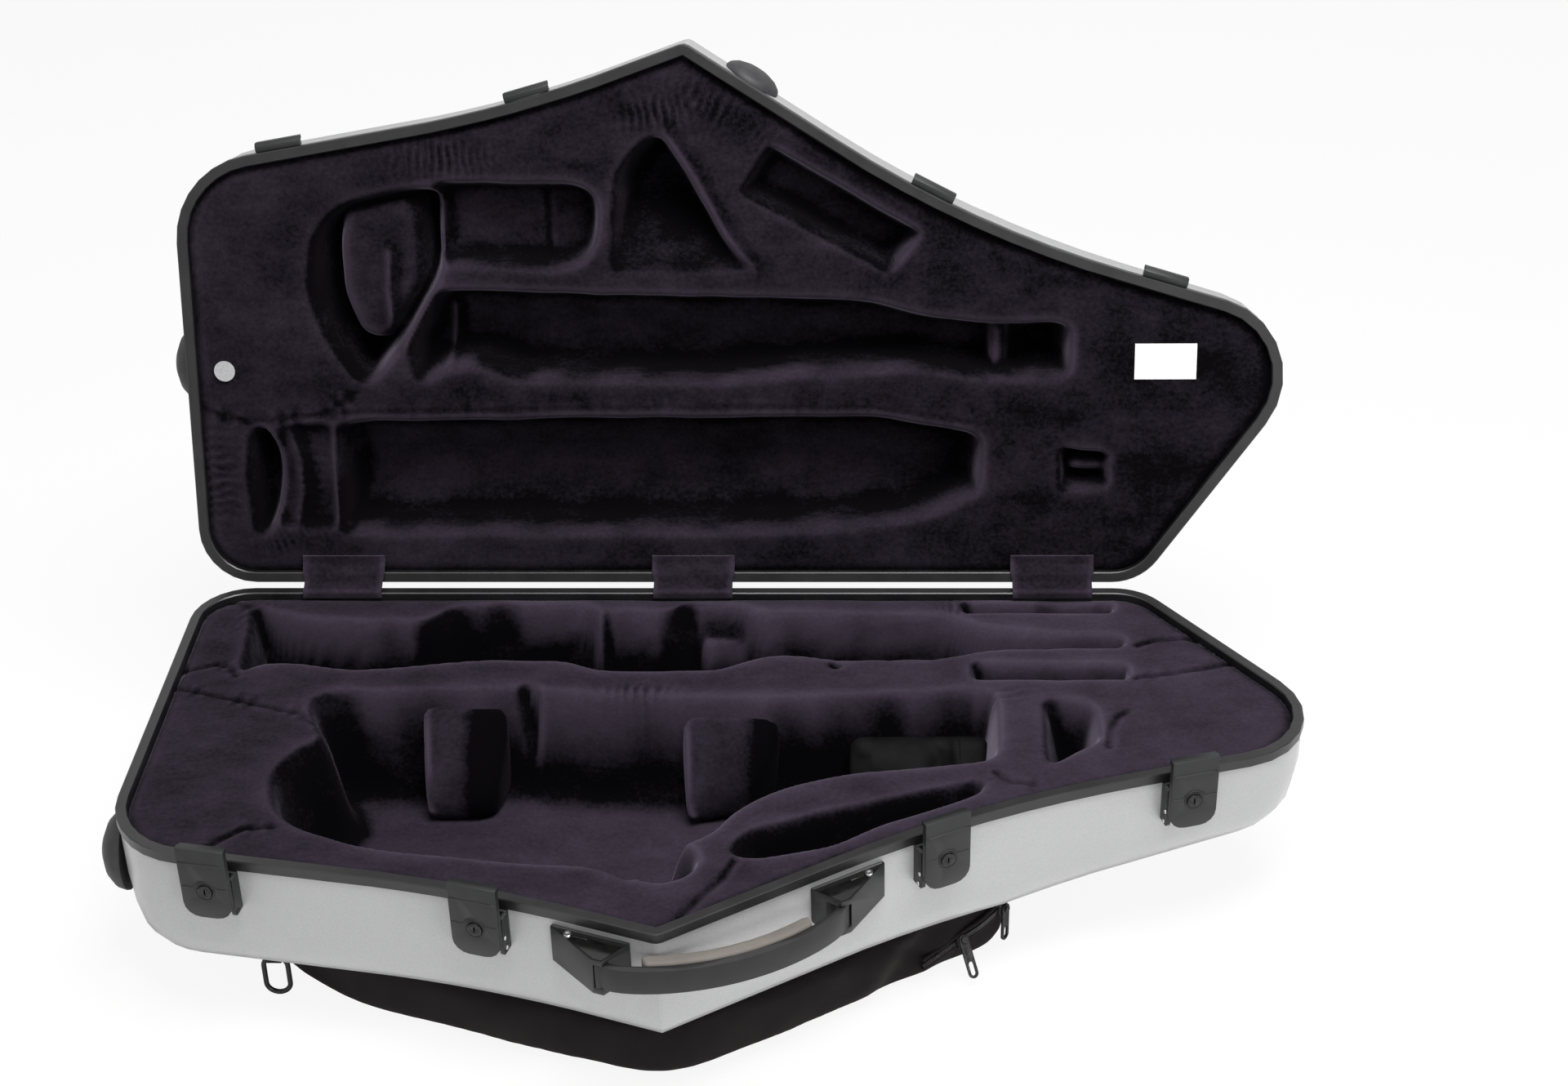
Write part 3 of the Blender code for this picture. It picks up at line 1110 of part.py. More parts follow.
def main():
    clear_scene()
    make_shells()
    make_base_lining()
    make_support_block("support_block_left", BLOCK_LEFT_SHARES)
    make_support_block("support_block_middle", BLOCK_MIDDLE_SHARES)
    make_lid_lining()
    make_lid_fittings()
    for name, share in zip(("left", "middle", "right"), HINGE_SHARES):
        make_hinge(name, share)
        make_hinge_cloth(name, share)
    for number, share in enumerate(LATCH_SHARES, 1):
        make_latch(number, share)
    make_handle_bracket("left", HANDLE_BRACKET_SHARES[0], -1)
    make_handle_bracket("right", HANDLE_BRACKET_SHARES[1], 1)
    make_handle()
    make_pocket()
    make_ring()
    make_feet()
    make_pouch()


main()
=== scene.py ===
# %% [markdown]
# # A double saxophone case, dressed over its CAD frame
#
# The CAD model gives every hard piece its true size and place. This lesson adds what a maker of such a case
# adds last: plush over foam, woven cloth, moulded grain, stitches and small fittings. Each step says what
# the real piece is, then builds it in Blender with a few operators.

# %% Load the frame
import json
import math
import bmesh
import bpy
import numpy as np
from mathutils import Euler, Matrix, Vector, noise


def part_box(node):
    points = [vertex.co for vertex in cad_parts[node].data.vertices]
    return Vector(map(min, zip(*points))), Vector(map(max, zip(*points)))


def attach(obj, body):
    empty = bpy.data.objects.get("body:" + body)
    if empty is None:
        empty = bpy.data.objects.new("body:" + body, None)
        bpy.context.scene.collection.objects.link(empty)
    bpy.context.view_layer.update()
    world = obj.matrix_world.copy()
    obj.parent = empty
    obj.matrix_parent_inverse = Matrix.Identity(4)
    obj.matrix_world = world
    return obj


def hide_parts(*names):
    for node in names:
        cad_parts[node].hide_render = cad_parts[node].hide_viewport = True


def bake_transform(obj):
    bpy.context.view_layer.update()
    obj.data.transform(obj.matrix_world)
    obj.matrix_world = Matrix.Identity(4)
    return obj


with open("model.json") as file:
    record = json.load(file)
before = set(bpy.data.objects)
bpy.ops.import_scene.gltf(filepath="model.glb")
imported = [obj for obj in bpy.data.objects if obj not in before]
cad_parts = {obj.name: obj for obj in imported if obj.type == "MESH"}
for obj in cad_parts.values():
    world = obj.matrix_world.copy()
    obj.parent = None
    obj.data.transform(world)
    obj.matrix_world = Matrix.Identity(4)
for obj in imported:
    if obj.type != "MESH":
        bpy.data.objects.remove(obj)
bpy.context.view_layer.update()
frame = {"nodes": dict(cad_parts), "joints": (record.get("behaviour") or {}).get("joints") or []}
MM = 0.001

# %% [markdown]
# ## Two places to work in
#
# The base lies under a level rim plane, and the lid stands open behind it. It is far easier to shape a lid
# lying flat, so every plan point is written as (x, v): x along the hinge, v the distance from the hinge
# line, both in millimetres. One matrix puts base pieces at their height, and another stands lid pieces up
# at the open angle.

# %% Base and lid planes
hinge = next(joint for joint in frame["joints"] if joint["name"] == "lid_hinge")
HINGE_LINE = Vector(hinge["pos_m"])
LID_OPEN_DEG = 104
TO_BASE = Matrix.Translation(HINGE_LINE)
LID_TURN = Matrix.Rotation(-math.radians(LID_OPEN_DEG), 4, "X")
TO_LID = TO_BASE @ LID_TURN @ Matrix.Scale(-1, 4, Vector((0, 0, 1)))
print("hinge line at", [round(value, 4) for value in HINGE_LINE])

# %% [markdown]
# ## Camera
#
# The photograph was taken from a little right of the middle, looking down by about 31 degrees, with the
# camera held a degree out of level. A 59 mm lens on a 36 mm sensor gives the same narrowing towards the
# lid.

# %% Camera
# The camera's place is in metres. Its turns are degrees about x, y and z, from looking straight down.
CAMERA_PLACE = (0.1212, -1.5565, 1.2932)
CAMERA_TURNS = (58.4873, 1.1655, 1.8496)
LENS_MM = 58.98
SENSOR_MM = 36
camera_data = bpy.data.cameras.new("camera")
camera_data.lens = LENS_MM
camera_data.sensor_width = SENSOR_MM
camera = bpy.data.objects.new("camera", camera_data)
bpy.context.scene.collection.objects.link(camera)
camera_turn = Euler([math.radians(turn) for turn in CAMERA_TURNS])
camera.matrix_world = Matrix.Translation(CAMERA_PLACE) @ camera_turn.to_matrix().to_4x4()
bpy.context.scene.camera = camera
print("camera at", CAMERA_PLACE, "with a lens of", LENS_MM, "mm")

# %% [markdown]
# ## Colours and nodes
#
# Colours are written the way a paint program shows them, as hex values, and turned to the linear numbers
# that Cycles works in. A second helper adds one node with its settings and links, so that a material reads
# like a recipe: what goes in, what is done to it, and what comes out.

# %% Helpers for materials
def colour(hex_value):
    parts = [int(hex_value[i:i + 2], 16) / 255 for i in (1, 3, 5)]
    return (*[part / 12.92 if part <= 0.04045 else ((part + 0.055) / 1.055) ** 2.4 for part in parts], 1)


def add_node(tree, kind, settings=None, inputs=None):
    node = tree.nodes.new(kind)
    for name, value in (settings or {}).items():
        setattr(node, name, value)
    for name, value in (inputs or {}).items():
        socket = node.inputs[name]
        if isinstance(value, bpy.types.NodeSocket):
            tree.links.new(value, socket)
        else:
            socket.default_value = value
    return node


def start_material(name, base, roughness, settings=None):
    """A material with one Principled shader, and its tree, shader and object coordinates."""
    made = bpy.data.materials.new(name)
    made.use_nodes = True
    tree = made.node_tree
    tree.nodes.clear()
    shader = add_node(tree, "ShaderNodeBsdfPrincipled", None,
                      {"Base Color": colour(base), "Roughness": roughness, **(settings or {})})
    output = add_node(tree, "ShaderNodeOutputMaterial")
    tree.links.new(shader.outputs["BSDF"], output.inputs["Surface"])
    place = add_node(tree, "ShaderNodeTexCoord").outputs["Object"]
    return made, tree, shader, place


def toned(tree, shader, source, low, high, dark, light):
    """Colours the surface between dark and light as source goes from low to high."""
    node = add_node(tree, "ShaderNodeValToRGB", None, {"Fac": source})
    node.color_ramp.elements[0].position = low
    node.color_ramp.elements[0].color = colour(dark)
    node.color_ramp.elements[1].position = high
    node.color_ramp.elements[1].color = colour(light)
    tree.links.new(node.outputs["Color"], shader.inputs["Base Color"])


def noise_of(tree, place, size_mm, detail, stretch=(1, 1, 1), roughness=0.5):
    """Noise whose blotches are about size_mm across, longer where stretch is over one."""
    scaled = add_node(tree, "ShaderNodeMapping", None, {"Vector": place, "Scale": [1 / s for s in stretch]})
    blotches = {"Scale": 1 / (size_mm * MM), "Detail": detail, "Roughness": roughness}
    made = add_node(tree, "ShaderNodeTexNoise", None, {"Vector": scaled.outputs["Vector"], **blotches})
    return made.outputs["Fac"]


def bumped(tree, shader, height, depth_mm, strength, under=None):
    """Bump of a real depth. under is the normal of a coarser bump below it."""
    inputs = {"Height": height, "Distance": depth_mm * MM, "Strength": strength}
    if under is not None:
        inputs["Normal"] = under
    normal = add_node(tree, "ShaderNodeBump", None, inputs).outputs["Normal"]
    tree.links.new(normal, shader.inputs["Normal"])
    return normal


def grained(name, base, roughness, grain, patches, tones, relief, settings=None):
    """A surface with a fine grain in relief and slow patches of tone. Where patches is None, the grain gives
    the tones too."""
    made, tree, shader, place = start_material(name, base, roughness, settings)
    fine = noise_of(tree, place, *grain)
    slow = noise_of(tree, place, *patches) if patches else fine
    toned(tree, shader, slow, *tones)
    bumped(tree, shader, fine, *relief)
    return made


print("grey #808080 is", round(colour("#808080")[0], 3), "in linear light")

# %% [markdown]
# ## Studio
#
# A case like this is photographed in a white tent: soft light from above, a little more from the right, and
# a pale floor. The world is white to the camera, to reflections and through glass, and dimmer as a lamp, so
# that the black plush stays black. Nine tenths of what the camera sees of the floor is a white glow and one
# tenth is paper under the lamps, which leaves only a soft shadow on it.

# %% World, lamps and floor
scene = bpy.context.scene
scene.view_settings.view_transform = "Standard"
world = bpy.data.worlds.new("white tent")
scene.world = world
world.use_nodes = True
world.node_tree.nodes.clear()
path = add_node(world.node_tree, "ShaderNodeLightPath")
seen = add_node(world.node_tree, "ShaderNodeMath", {"operation": "MAXIMUM"})
seen_too = add_node(world.node_tree, "ShaderNodeMath", {"operation": "MAXIMUM"})
for socket, source in ((seen.inputs[0], "Is Camera Ray"), (seen.inputs[1], "Is Glossy Ray")):
    world.node_tree.links.new(path.outputs[source], socket)
world.node_tree.links.new(seen.outputs[0], seen_too.inputs[0])
world.node_tree.links.new(path.outputs["Is Transmission Ray"], seen_too.inputs[1])
WHITE = colour("#ffffff")
lamp_sky = add_node(world.node_tree, "ShaderNodeBackground", None, {"Color": WHITE, "Strength": 0.24})
white_sky = add_node(world.node_tree, "ShaderNodeBackground", None, {"Color": WHITE, "Strength": 1.0})
sky = add_node(world.node_tree, "ShaderNodeMixShader", None, {"Fac": seen_too.outputs[0]})
world.node_tree.links.new(lamp_sky.outputs[0], sky.inputs[1])
world.node_tree.links.new(white_sky.outputs[0], sky.inputs[2])
add_node(world.node_tree, "ShaderNodeOutputWorld", None, {"Surface": sky.outputs[0]})


def soft_lamp(name, place, target, size, watts):
    data = bpy.data.lights.new(name, "AREA")
    data.shape = "RECTANGLE"
    data.size, data.size_y = size
    data.energy = watts
    lamp = bpy.data.objects.new(name, data)
    scene.collection.objects.link(lamp)
    lamp.location = place
    lamp.rotation_euler = (Vector(target) - Vector(place)).to_track_quat("-Z", "Y").to_euler()


# Each lamp's place, the point that it faces and its size are in metres, and its power is in watts.
soft_lamp("overhead", (0.35, -0.5, 2.25), (0.0, 0.0, 0.15), (1.3, 0.9), 66)
soft_lamp("front fill", (1.7, -2.1, 0.7), (0.1, -0.2, 0.15), (1.4, 0.7), 15.5)
soft_lamp("left fill", (-1.9, -1.0, 1.7), (0.0, 0.2, 0.4), (0.8, 0.9), 3)

floor_bm = bmesh.new()
bmesh.ops.create_grid(floor_bm, x_segments=1, y_segments=1, size=12)
floor_mesh = bpy.data.meshes.new("floor")
floor_bm.to_mesh(floor_mesh)
floor_bm.free()
floor = bpy.data.objects.new("floor", floor_mesh)
scene.collection.objects.link(floor)
FLOOR_GLOW = 0.9
floor_material, floor_tree, floor_shader, _ = start_material("white paper sweep", "#f7f7f6", 0.9)
glow = add_node(floor_tree, "ShaderNodeEmission", None, {"Color": WHITE, "Strength": 1.0})
floor_path = add_node(floor_tree, "ShaderNodeLightPath")
share = add_node(floor_tree, "ShaderNodeMath", {"operation": "MULTIPLY"},
                 {0: floor_path.outputs["Is Camera Ray"], 1: FLOOR_GLOW})
mixed = add_node(floor_tree, "ShaderNodeMixShader", None, {"Fac": share.outputs[0]})
floor_tree.links.new(floor_shader.outputs[0], mixed.inputs[1])
floor_tree.links.new(glow.outputs[0], mixed.inputs[2])
floor_output = next(node for node in floor_tree.nodes if node.type == "OUTPUT_MATERIAL")
floor_tree.links.new(mixed.outputs[0], floor_output.inputs["Surface"])
floor.data.materials.append(floor_material)

# %% [markdown]
# ## Shell: a moulded composite with a satin lacquer
#
# The two shells are pressed from a thin sandwich of plastics and foam, then lacquered silver grey. The eye
# sees a pale, even grey with a broad soft highlight, a very shallow orange peel about 2 mm across, and slow
# waves where the pressed sheet isn't quite fair.

# %% Shell lacquer
shell_lacquer, tree, shader, place = start_material(
    "satin_grey_lacquer", "#acacad", 0.36, {"Coat Weight": 0.25, "Coat Roughness": 0.22})
flake = noise_of(tree, place, 0.9, 3)
toned(tree, shader, flake, 0.35, 0.65, "#a6a6a8", "#b1b1b2")
peel = noise_of(tree, place, 2.2, 2)
wave = noise_of(tree, place, 90, 1)
coarse = bumped(tree, shader, wave, 1.2, 0.35)
bumped(tree, shader, peel, 0.05, 0.6, coarse)
print("made", shell_lacquer.name)

# %% [markdown]
# ## Rims: an extruded black channel
#
# Each rim is a black channel pushed over the shell's edge. It is extruded, so it is smooth along its length
# with faint drawing lines, and its sheen is that of a hard rubber: black with a grey highlight.

# %% Rim plastic
rim_rubber, tree, shader, place = start_material("extruded_black_rim", "#101011", 0.34)
lines = noise_of(tree, place, 0.35, 2, (14, 14, 1))
worn = noise_of(tree, place, 22, 4)
toned(tree, shader, worn, 0.3, 0.75, "#0b0b0c", "#19191a")
bumped(tree, shader, lines, 0.02, 0.6)
roughness = add_node(tree, "ShaderNodeMapRange", None, {"Value": worn, "To Min": 0.28, "To Max": 0.45})
tree.links.new(roughness.outputs["Result"], shader.inputs["Roughness"])
print("made", rim_rubber.name)

# %% [markdown]
# ## Latches and handle wedges: glass-filled nylon with a spark-eroded grain
#
# The mould for these parts is etched, which leaves a fine matt grain under half a millimetre across. It
# scatters the light, so the dark grey looks even from every side and only the edges catch a line of light.
# The wedges carry a polished plate, smeared by fingers. The strap is moulded rubber, the pad under it soft
# taupe foam, and the feet are scuffed rubber. Each grain and each patch is written as its size in
# millimetres and its detail.

# %% Latch nylon, handle and feet
latch_nylon = grained("grained_nylon", "#1b1c1c", 0.46, grain=(0.45, 3), patches=(14, 3),
                      tones=(0.3, 0.7, "#121313", "#191a1a"), relief=(0.06, 0.7),
                      settings={"Specular IOR Level": 0.4})

glossy_inlay, tree, shader, place = start_material("polished_black_inlay", "#0b0b0b", 0.16)
smears = noise_of(tree, place, 7, 4)
toned(tree, shader, smears, 0.3, 0.8, "#070707", "#131312")
smeared = add_node(tree, "ShaderNodeMapRange", None, {"Value": smears, "To Min": 0.1, "To Max": 0.26})
tree.links.new(smeared.outputs["Result"], shader.inputs["Roughness"])

strap_rubber = grained("moulded_strap_rubber", "#19191a", 0.48, grain=(0.5, 3), patches=(18, 3),
                       tones=(0.3, 0.7, "#131314", "#1b1b1c"), relief=(0.05, 0.6),
                       settings={"Specular IOR Level": 0.34})
grip_foam = grained("soft_taupe_pad", "#645e5a", 0.7, grain=(0.6, 4), patches=(25, 3),
                    tones=(0.3, 0.7, "#5c5652", "#69635e"), relief=(0.06, 0.6),
                    settings={"Sheen Weight": 0.08})
foot_rubber = grained("foot_rubber", "#222224", 0.6, grain=(0.8, 3), patches=(9, 5),
                      tones=(0.35, 0.8, "#1d1d1f", "#303032"), relief=(0.08, 0.7))
print("made", latch_nylon.name, glossy_inlay.name, strap_rubber.name, grip_foam.name, foot_rubber.name)

# %% [markdown]
# ## Metals and the label
#
# The screws, rivets and stud are nickel plated, bright with fine brushing. The ring, zip, pins and hinge
# leaves are blackened steel, which stays dark with a dull mottled highlight. The label is bare white card.

# %% Nickel, blackened steel and card
nickel = grained("nickel_plate", "#c9c9cb", 0.25, grain=(0.4, 3, (6, 1, 1)), patches=None,
                 tones=(0.3, 0.7, "#b9b9bc", "#d4d4d5"), relief=(0.015, 0.5), settings={"Metallic": 1.0})
black_steel = grained("blackened_steel", "#2a2a2b", 0.42, grain=(1.8, 3), patches=None,
                      tones=(0.3, 0.7, "#1e1e1f", "#39393a"), relief=(0.02, 0.4), settings={"Metallic": 0.8})
label_card = grained("bare_white_label", "#e9e9e7", 0.55, grain=(0.5, 4), patches=None,
                     tones=(0.3, 0.7, "#e2e2e0", "#f0f0ee"), relief=(0.03, 0.4))
print("made", nickel.name, black_steel.name, label_card.name)

# %% [markdown]
# ## Plush: a short dense pile over foam
#
# The lining is a dark purple plush, a knitted velour with a pile about 1 mm long. An attribute on each piece
# holds painted light and shade: a painted highlight over round edges, and painted shade in hollows, corners
# and on walls turned from the light. It sets both the colour, from near black in painted shade to a lit
# purple, and the sheen. Broad blotches give the stroked patches, and a grain of about 1 mm, a little coarser
# than real pile so that it shows, gives the pile itself.

# %% Plush
plush, tree, shader, place = start_material(
    "purple_black_plush", "#16131a", 0.95,
    {"Sheen Weight": 0.4, "Sheen Roughness": 0.36, "Sheen Tint": colour("#a69db0"),
     "Specular IOR Level": 0.04})
stroked = noise_of(tree, place, 40, 6, (1.6, 1, 1), 0.68)
tufts = noise_of(tree, place, 3.2, 4, (1, 1, 1), 0.7)
# The fine grain of the pile itself, used only as relief.
nap_and_painted_light = noise_of(tree, place, 0.9, 3)
# The painted light and shade that each plush piece carries in its attribute.
painted_light_and_shade = add_node(tree, "ShaderNodeAttribute", {"attribute_name": "nap_and_painted_light"})
patchy = add_node(tree, "ShaderNodeMix", {"data_type": "FLOAT"}, {"Factor": 0.38, "A": stroked, "B": tufts})
patches = add_node(tree, "ShaderNodeMapRange", None, {
    "Value": patchy.outputs["Result"], "From Min": 0.34, "From Max": 0.66, "To Min": 0.0, "To Max": 1.0})
# Random patches mixed with the painted light and shade set the colour, from near black in painted shade to a
# lit purple under painted highlight.
both = add_node(tree, "ShaderNodeMix", {"data_type": "FLOAT"},
                {"Factor": 0.79, "A": patches.outputs["Result"], "B": painted_light_and_shade.outputs["Fac"]})
toned(tree, shader, both.outputs["Result"], 0.2, 0.8, "#040305", "#463d4b")
# The sheen is painted too: weak where the painted shade is dark and strong under painted highlight.
sheen_by_painted_light = add_node(tree, "ShaderNodeMapRange", None, {
    "Value": both.outputs["Result"], "From Min": 0.18, "From Max": 0.7, "To Min": 0.05, "To Max": 0.55})
tree.links.new(sheen_by_painted_light.outputs["Result"], shader.inputs["Sheen Weight"])
# Relief of the stroked patches, the tufts and the pile's grain.
lay_and_painted_light = bumped(tree, shader, stroked, 1.6, 0.25)
coarse = bumped(tree, shader, tufts, 0.5, 0.4, lay_and_painted_light)
bumped(tree, shader, nap_and_painted_light, 0.3, 0.6, coarse)
print("made", plush.name)

# %% [markdown]
# ## Pocket cloth and pouch leather
#
# The pocket is a plain-woven nylon, nearly black with a warm cast, and its threads are about half a
# millimetre apart, drawn here at 0.8 mm so that they show. The pouch is a soft black leather with a pebble
# grain.

# %% Cloth and leather
THREAD_MM = 0.8
PEBBLE_MM = 1.3
pocket_cloth, tree, shader, place = start_material(
    "black_woven_nylon", "#0f0c0c", 0.85,
    {"Specular IOR Level": 0.15, "Sheen Weight": 0.12, "Sheen Roughness": 0.5,
     "Sheen Tint": colour("#8c8080")})
# A wave texture at a scale of 1 has 3.2 bands to the metre.
threads = {"Vector": place, "Scale": 1 / (THREAD_MM * MM) / 3.2, "Distortion": 0.3}
warp = add_node(tree, "ShaderNodeTexWave", {"wave_type": "BANDS", "bands_direction": "X"}, threads)
weft = add_node(tree, "ShaderNodeTexWave", {"wave_type": "BANDS", "bands_direction": "Z"}, threads)
weave = add_node(tree, "ShaderNodeMath", {"operation": "MULTIPLY"},
                 {0: warp.outputs["Fac"], 1: weft.outputs["Fac"]})
dust = noise_of(tree, place, 30, 4)
toned(tree, shader, dust, 0.3, 0.75, "#0e0b0c", "#1b1718")
bumped(tree, shader, weave.outputs[0], 0.12, 0.7)

leather, tree, shader, place = start_material(
    "soft_black_leather", "#0c0b0c", 0.66, {"Specular IOR Level": 0.06})
pebbles = add_node(tree, "ShaderNodeTexVoronoi", {"feature": "DISTANCE_TO_EDGE"},
                   {"Vector": place, "Scale": 1 / (PEBBLE_MM * MM)})
tone = noise_of(tree, place, 12, 4)
toned(tree, shader, tone, 0.3, 0.7, "#080708", "#111011")
bumped(tree, shader, pebbles.outputs["Distance"], 0.2, 0.5)
print("cloth and leather ready")

# %% [markdown]
# ## Dressing the hard CAD nodes
#
# Every CAD node gets its finish here, by the start of its name. The pins, hinge leaves, stud and label
# already have their true shape and keep their meshes. Finer pieces replace the others further on.

# %% Materials on the CAD nodes
FINISHES = {
    "base_shell": shell_lacquer, "lid_shell": shell_lacquer, "base_rim": rim_rubber, "lid_rim": rim_rubber,
    "latch_bracket": latch_nylon, "latch_lever": latch_nylon, "keeper": latch_nylon,
    "handle_bracket": latch_nylon, "handle_pin": black_steel, "handle_strap": strap_rubber,
    "handle_grip": grip_foam, "foot": foot_rubber, "latch_pin": black_steel, "hinge_pin": black_steel,
    "hinge_leaf": black_steel, "lock_cylinder": black_steel, "hanging_ring": black_steel,
    "zip_pull": black_steel, "snap_stud": nickel, "label_plate": label_card, "ring_tab": pocket_cloth,
    "pocket": pocket_cloth, "accessory_pouch": leather, "base_lining": plush, "lid_lining": plush,
    "end_pad": plush, "bell_pad": plush, "support_block": plush, "hinge_cloth": plush,
}
for name, node in frame["nodes"].items():
    finish = next(value for start, value in FINISHES.items() if name.startswith(start))
    node.data.materials.clear()
    node.data.materials.append(finish)
print(len(frame["nodes"]), "CAD nodes have their finish")

# %% [markdown]
# ## How a plush lining is made, and how to model it
#
# The foam is cut and glued into the shell, and one sheet of plush is stretched over it and glued down into
# each hollow. So every upper edge is round, the walls lean a little, and the foot of each wall is filleted.
# The shape is a relief: one depth for each plan point. That suits a fine grid whose points are pushed down
# by a rule worked out from the distance to each hollow's edge.

# %% The case's plan outline, in millimetres from the hinge line
# Each corner is x, distance from the hinge, radius, and how many steps its curve takes.
CASE_CORNERS = [
    (-440.3, 2.6, 45, 9), (-438.2, 345.2, 70.6, 12), (-167.2, 391.2, 1020, 10), (-31.2, 440, 8, 4),
    (192.7, 295.7, 880, 10), (481.4, 209.6, 65, 12), (331.3, 2.6, 45, 9),
]
# The lining starts this far in from the outline, and its flat top lies this far under the rim plane.
LINING_INSET = 8.9
PLUSH_TOP = 5.0


def case_outline(inset):
    """The plan outline moved in by inset, as (x, v) rows, anticlockwise seen from above."""
    points = [np.array((x, -v)) for x, v, _, _ in CASE_CORNERS]
    lines = []
    for a, b in zip(points, points[1:] + points[:1]):
        along = (b - a) / np.linalg.norm(b - a)
        lines.append((a + np.array((-along[1], along[0])) * inset, along))
    curved = []
    for i, ((a, before), (b, after)) in enumerate(zip(lines[-1:] + lines[:-1], lines)):
        cross = before[0] * after[1] - before[1] * after[0]
        turn = math.atan2(cross, before @ after)
        corner = a + before * ((b - a)[0] * after[1] - (b - a)[1] * after[0]) / cross
        radius = max(CASE_CORNERS[i][2] - math.copysign(inset, turn), 0.8)
        start = corner - before * radius * math.tan(abs(turn) / 2)
        centre = start + np.array((-before[1], before[0])) * math.copysign(radius, turn)
        for step in range(CASE_CORNERS[i][3] + 1):
            angle = turn * step / CASE_CORNERS[i][3]
            spin = np.array(((math.cos(angle), -math.sin(angle)), (math.sin(angle), math.cos(angle))))
            curved.append(centre + spin @ (start - centre))
    return np.array(curved) * (1, -1)


print("outline of", len(case_outline(0)), "points")


# %% Distances and soft walls
def nearest_on(points, line, closed=True):
    """For each plan point: its distance to a line of points, and the nearest place on it."""
    line = np.asarray(line, float)
    pairs = zip(line, np.roll(line, -1, 0)) if closed else zip(line[:-1], line[1:])
    best = np.full(len(points), np.inf)
    place = np.zeros_like(points)
    for a, b in pairs:
        edge = b - a
        share = np.clip((points - a) @ edge / max(edge @ edge, 1e-9), 0, 1)
        spot = a + share[:, None] * edge
        gap = np.hypot(*(points - spot).T)
        closer = gap < best
        best[closer] = gap[closer]
        place[closer] = spot[closer]
    return best, place


def depth_inside(points, outline):
    """Distance from the outline, in mm: positive inside it and negative outside."""
    outline = np.asarray(outline, float)
    inside = np.zeros(len(points), bool)
    for a, b in zip(outline, np.roll(outline, -1, 0)):
        crosses = (a[1] > points[:, 1]) != (b[1] > points[:, 1])
        slope = (b[0] - a[0]) / (b[1] - a[1] if b[1] != a[1] else 1e-9)
        inside ^= crosses & (points[:, 0] < a[0] + (points[:, 1] - a[1]) * slope)
    gap, _ = nearest_on(points, outline)
    return np.where(inside, gap, -gap)


def rounded(outline, radius):
    """An outline whose corners are curves that start at most radius before the corner."""
    line = np.asarray(outline, float)
    before = line - np.roll(line, 1, 0)
    after = np.roll(line, -1, 0) - line
    back = np.linalg.norm(before, axis=1)[:, None]
    ahead = np.linalg.norm(after, axis=1)[:, None]
    start = line - before / back * np.minimum(radius, back * 0.48)
    end = line + after / ahead * np.minimum(radius, ahead * 0.48)
    share = np.linspace(0, 1, 5)[:, None, None]
    curve = (1 - share) ** 2 * start + 2 * share * (1 - share) * line + share ** 2 * end
    return curve.transpose(1, 0, 2).reshape(-1, 2)


def oval(centre, radii, count):
    """Places round an oval."""
    angles = np.linspace(0, 2 * math.pi, count + 1)[:-1]
    return [(centre[0] + radii[0] * math.cos(a), centre[1] + radii[1] * math.sin(a)) for a in angles]


def soft_wall(depth, lip, foot, lean_deg):
    """How deep the plush lies at each distance in from a hollow's edge: round lip, leaning wall and foot."""
    steep = math.radians(90 - lean_deg)
    room = (1 - math.cos(steep)) * (lip + foot)
    if room > depth:
        lip, foot = lip * depth / room, foot * depth / room
    reach, drop = [0.0], [0.0]
    for step in range(1, 9):
        angle = steep * step / 8
        reach.append(lip * math.sin(angle))
        drop.append(lip * (1 - math.cos(angle)))
    wall = max(0.0, depth - (1 - math.cos(steep)) * (lip + foot))
    start, fallen = reach[-1] + wall / math.tan(steep), drop[-1] + wall
    for step in range(9):
        angle = steep * (1 - step / 8)
        reach.append(start + foot * (math.sin(steep) - math.sin(angle)))
        drop.append(fallen + foot * (math.cos(angle) - math.cos(steep)))
    return np.array(reach), np.array(drop)


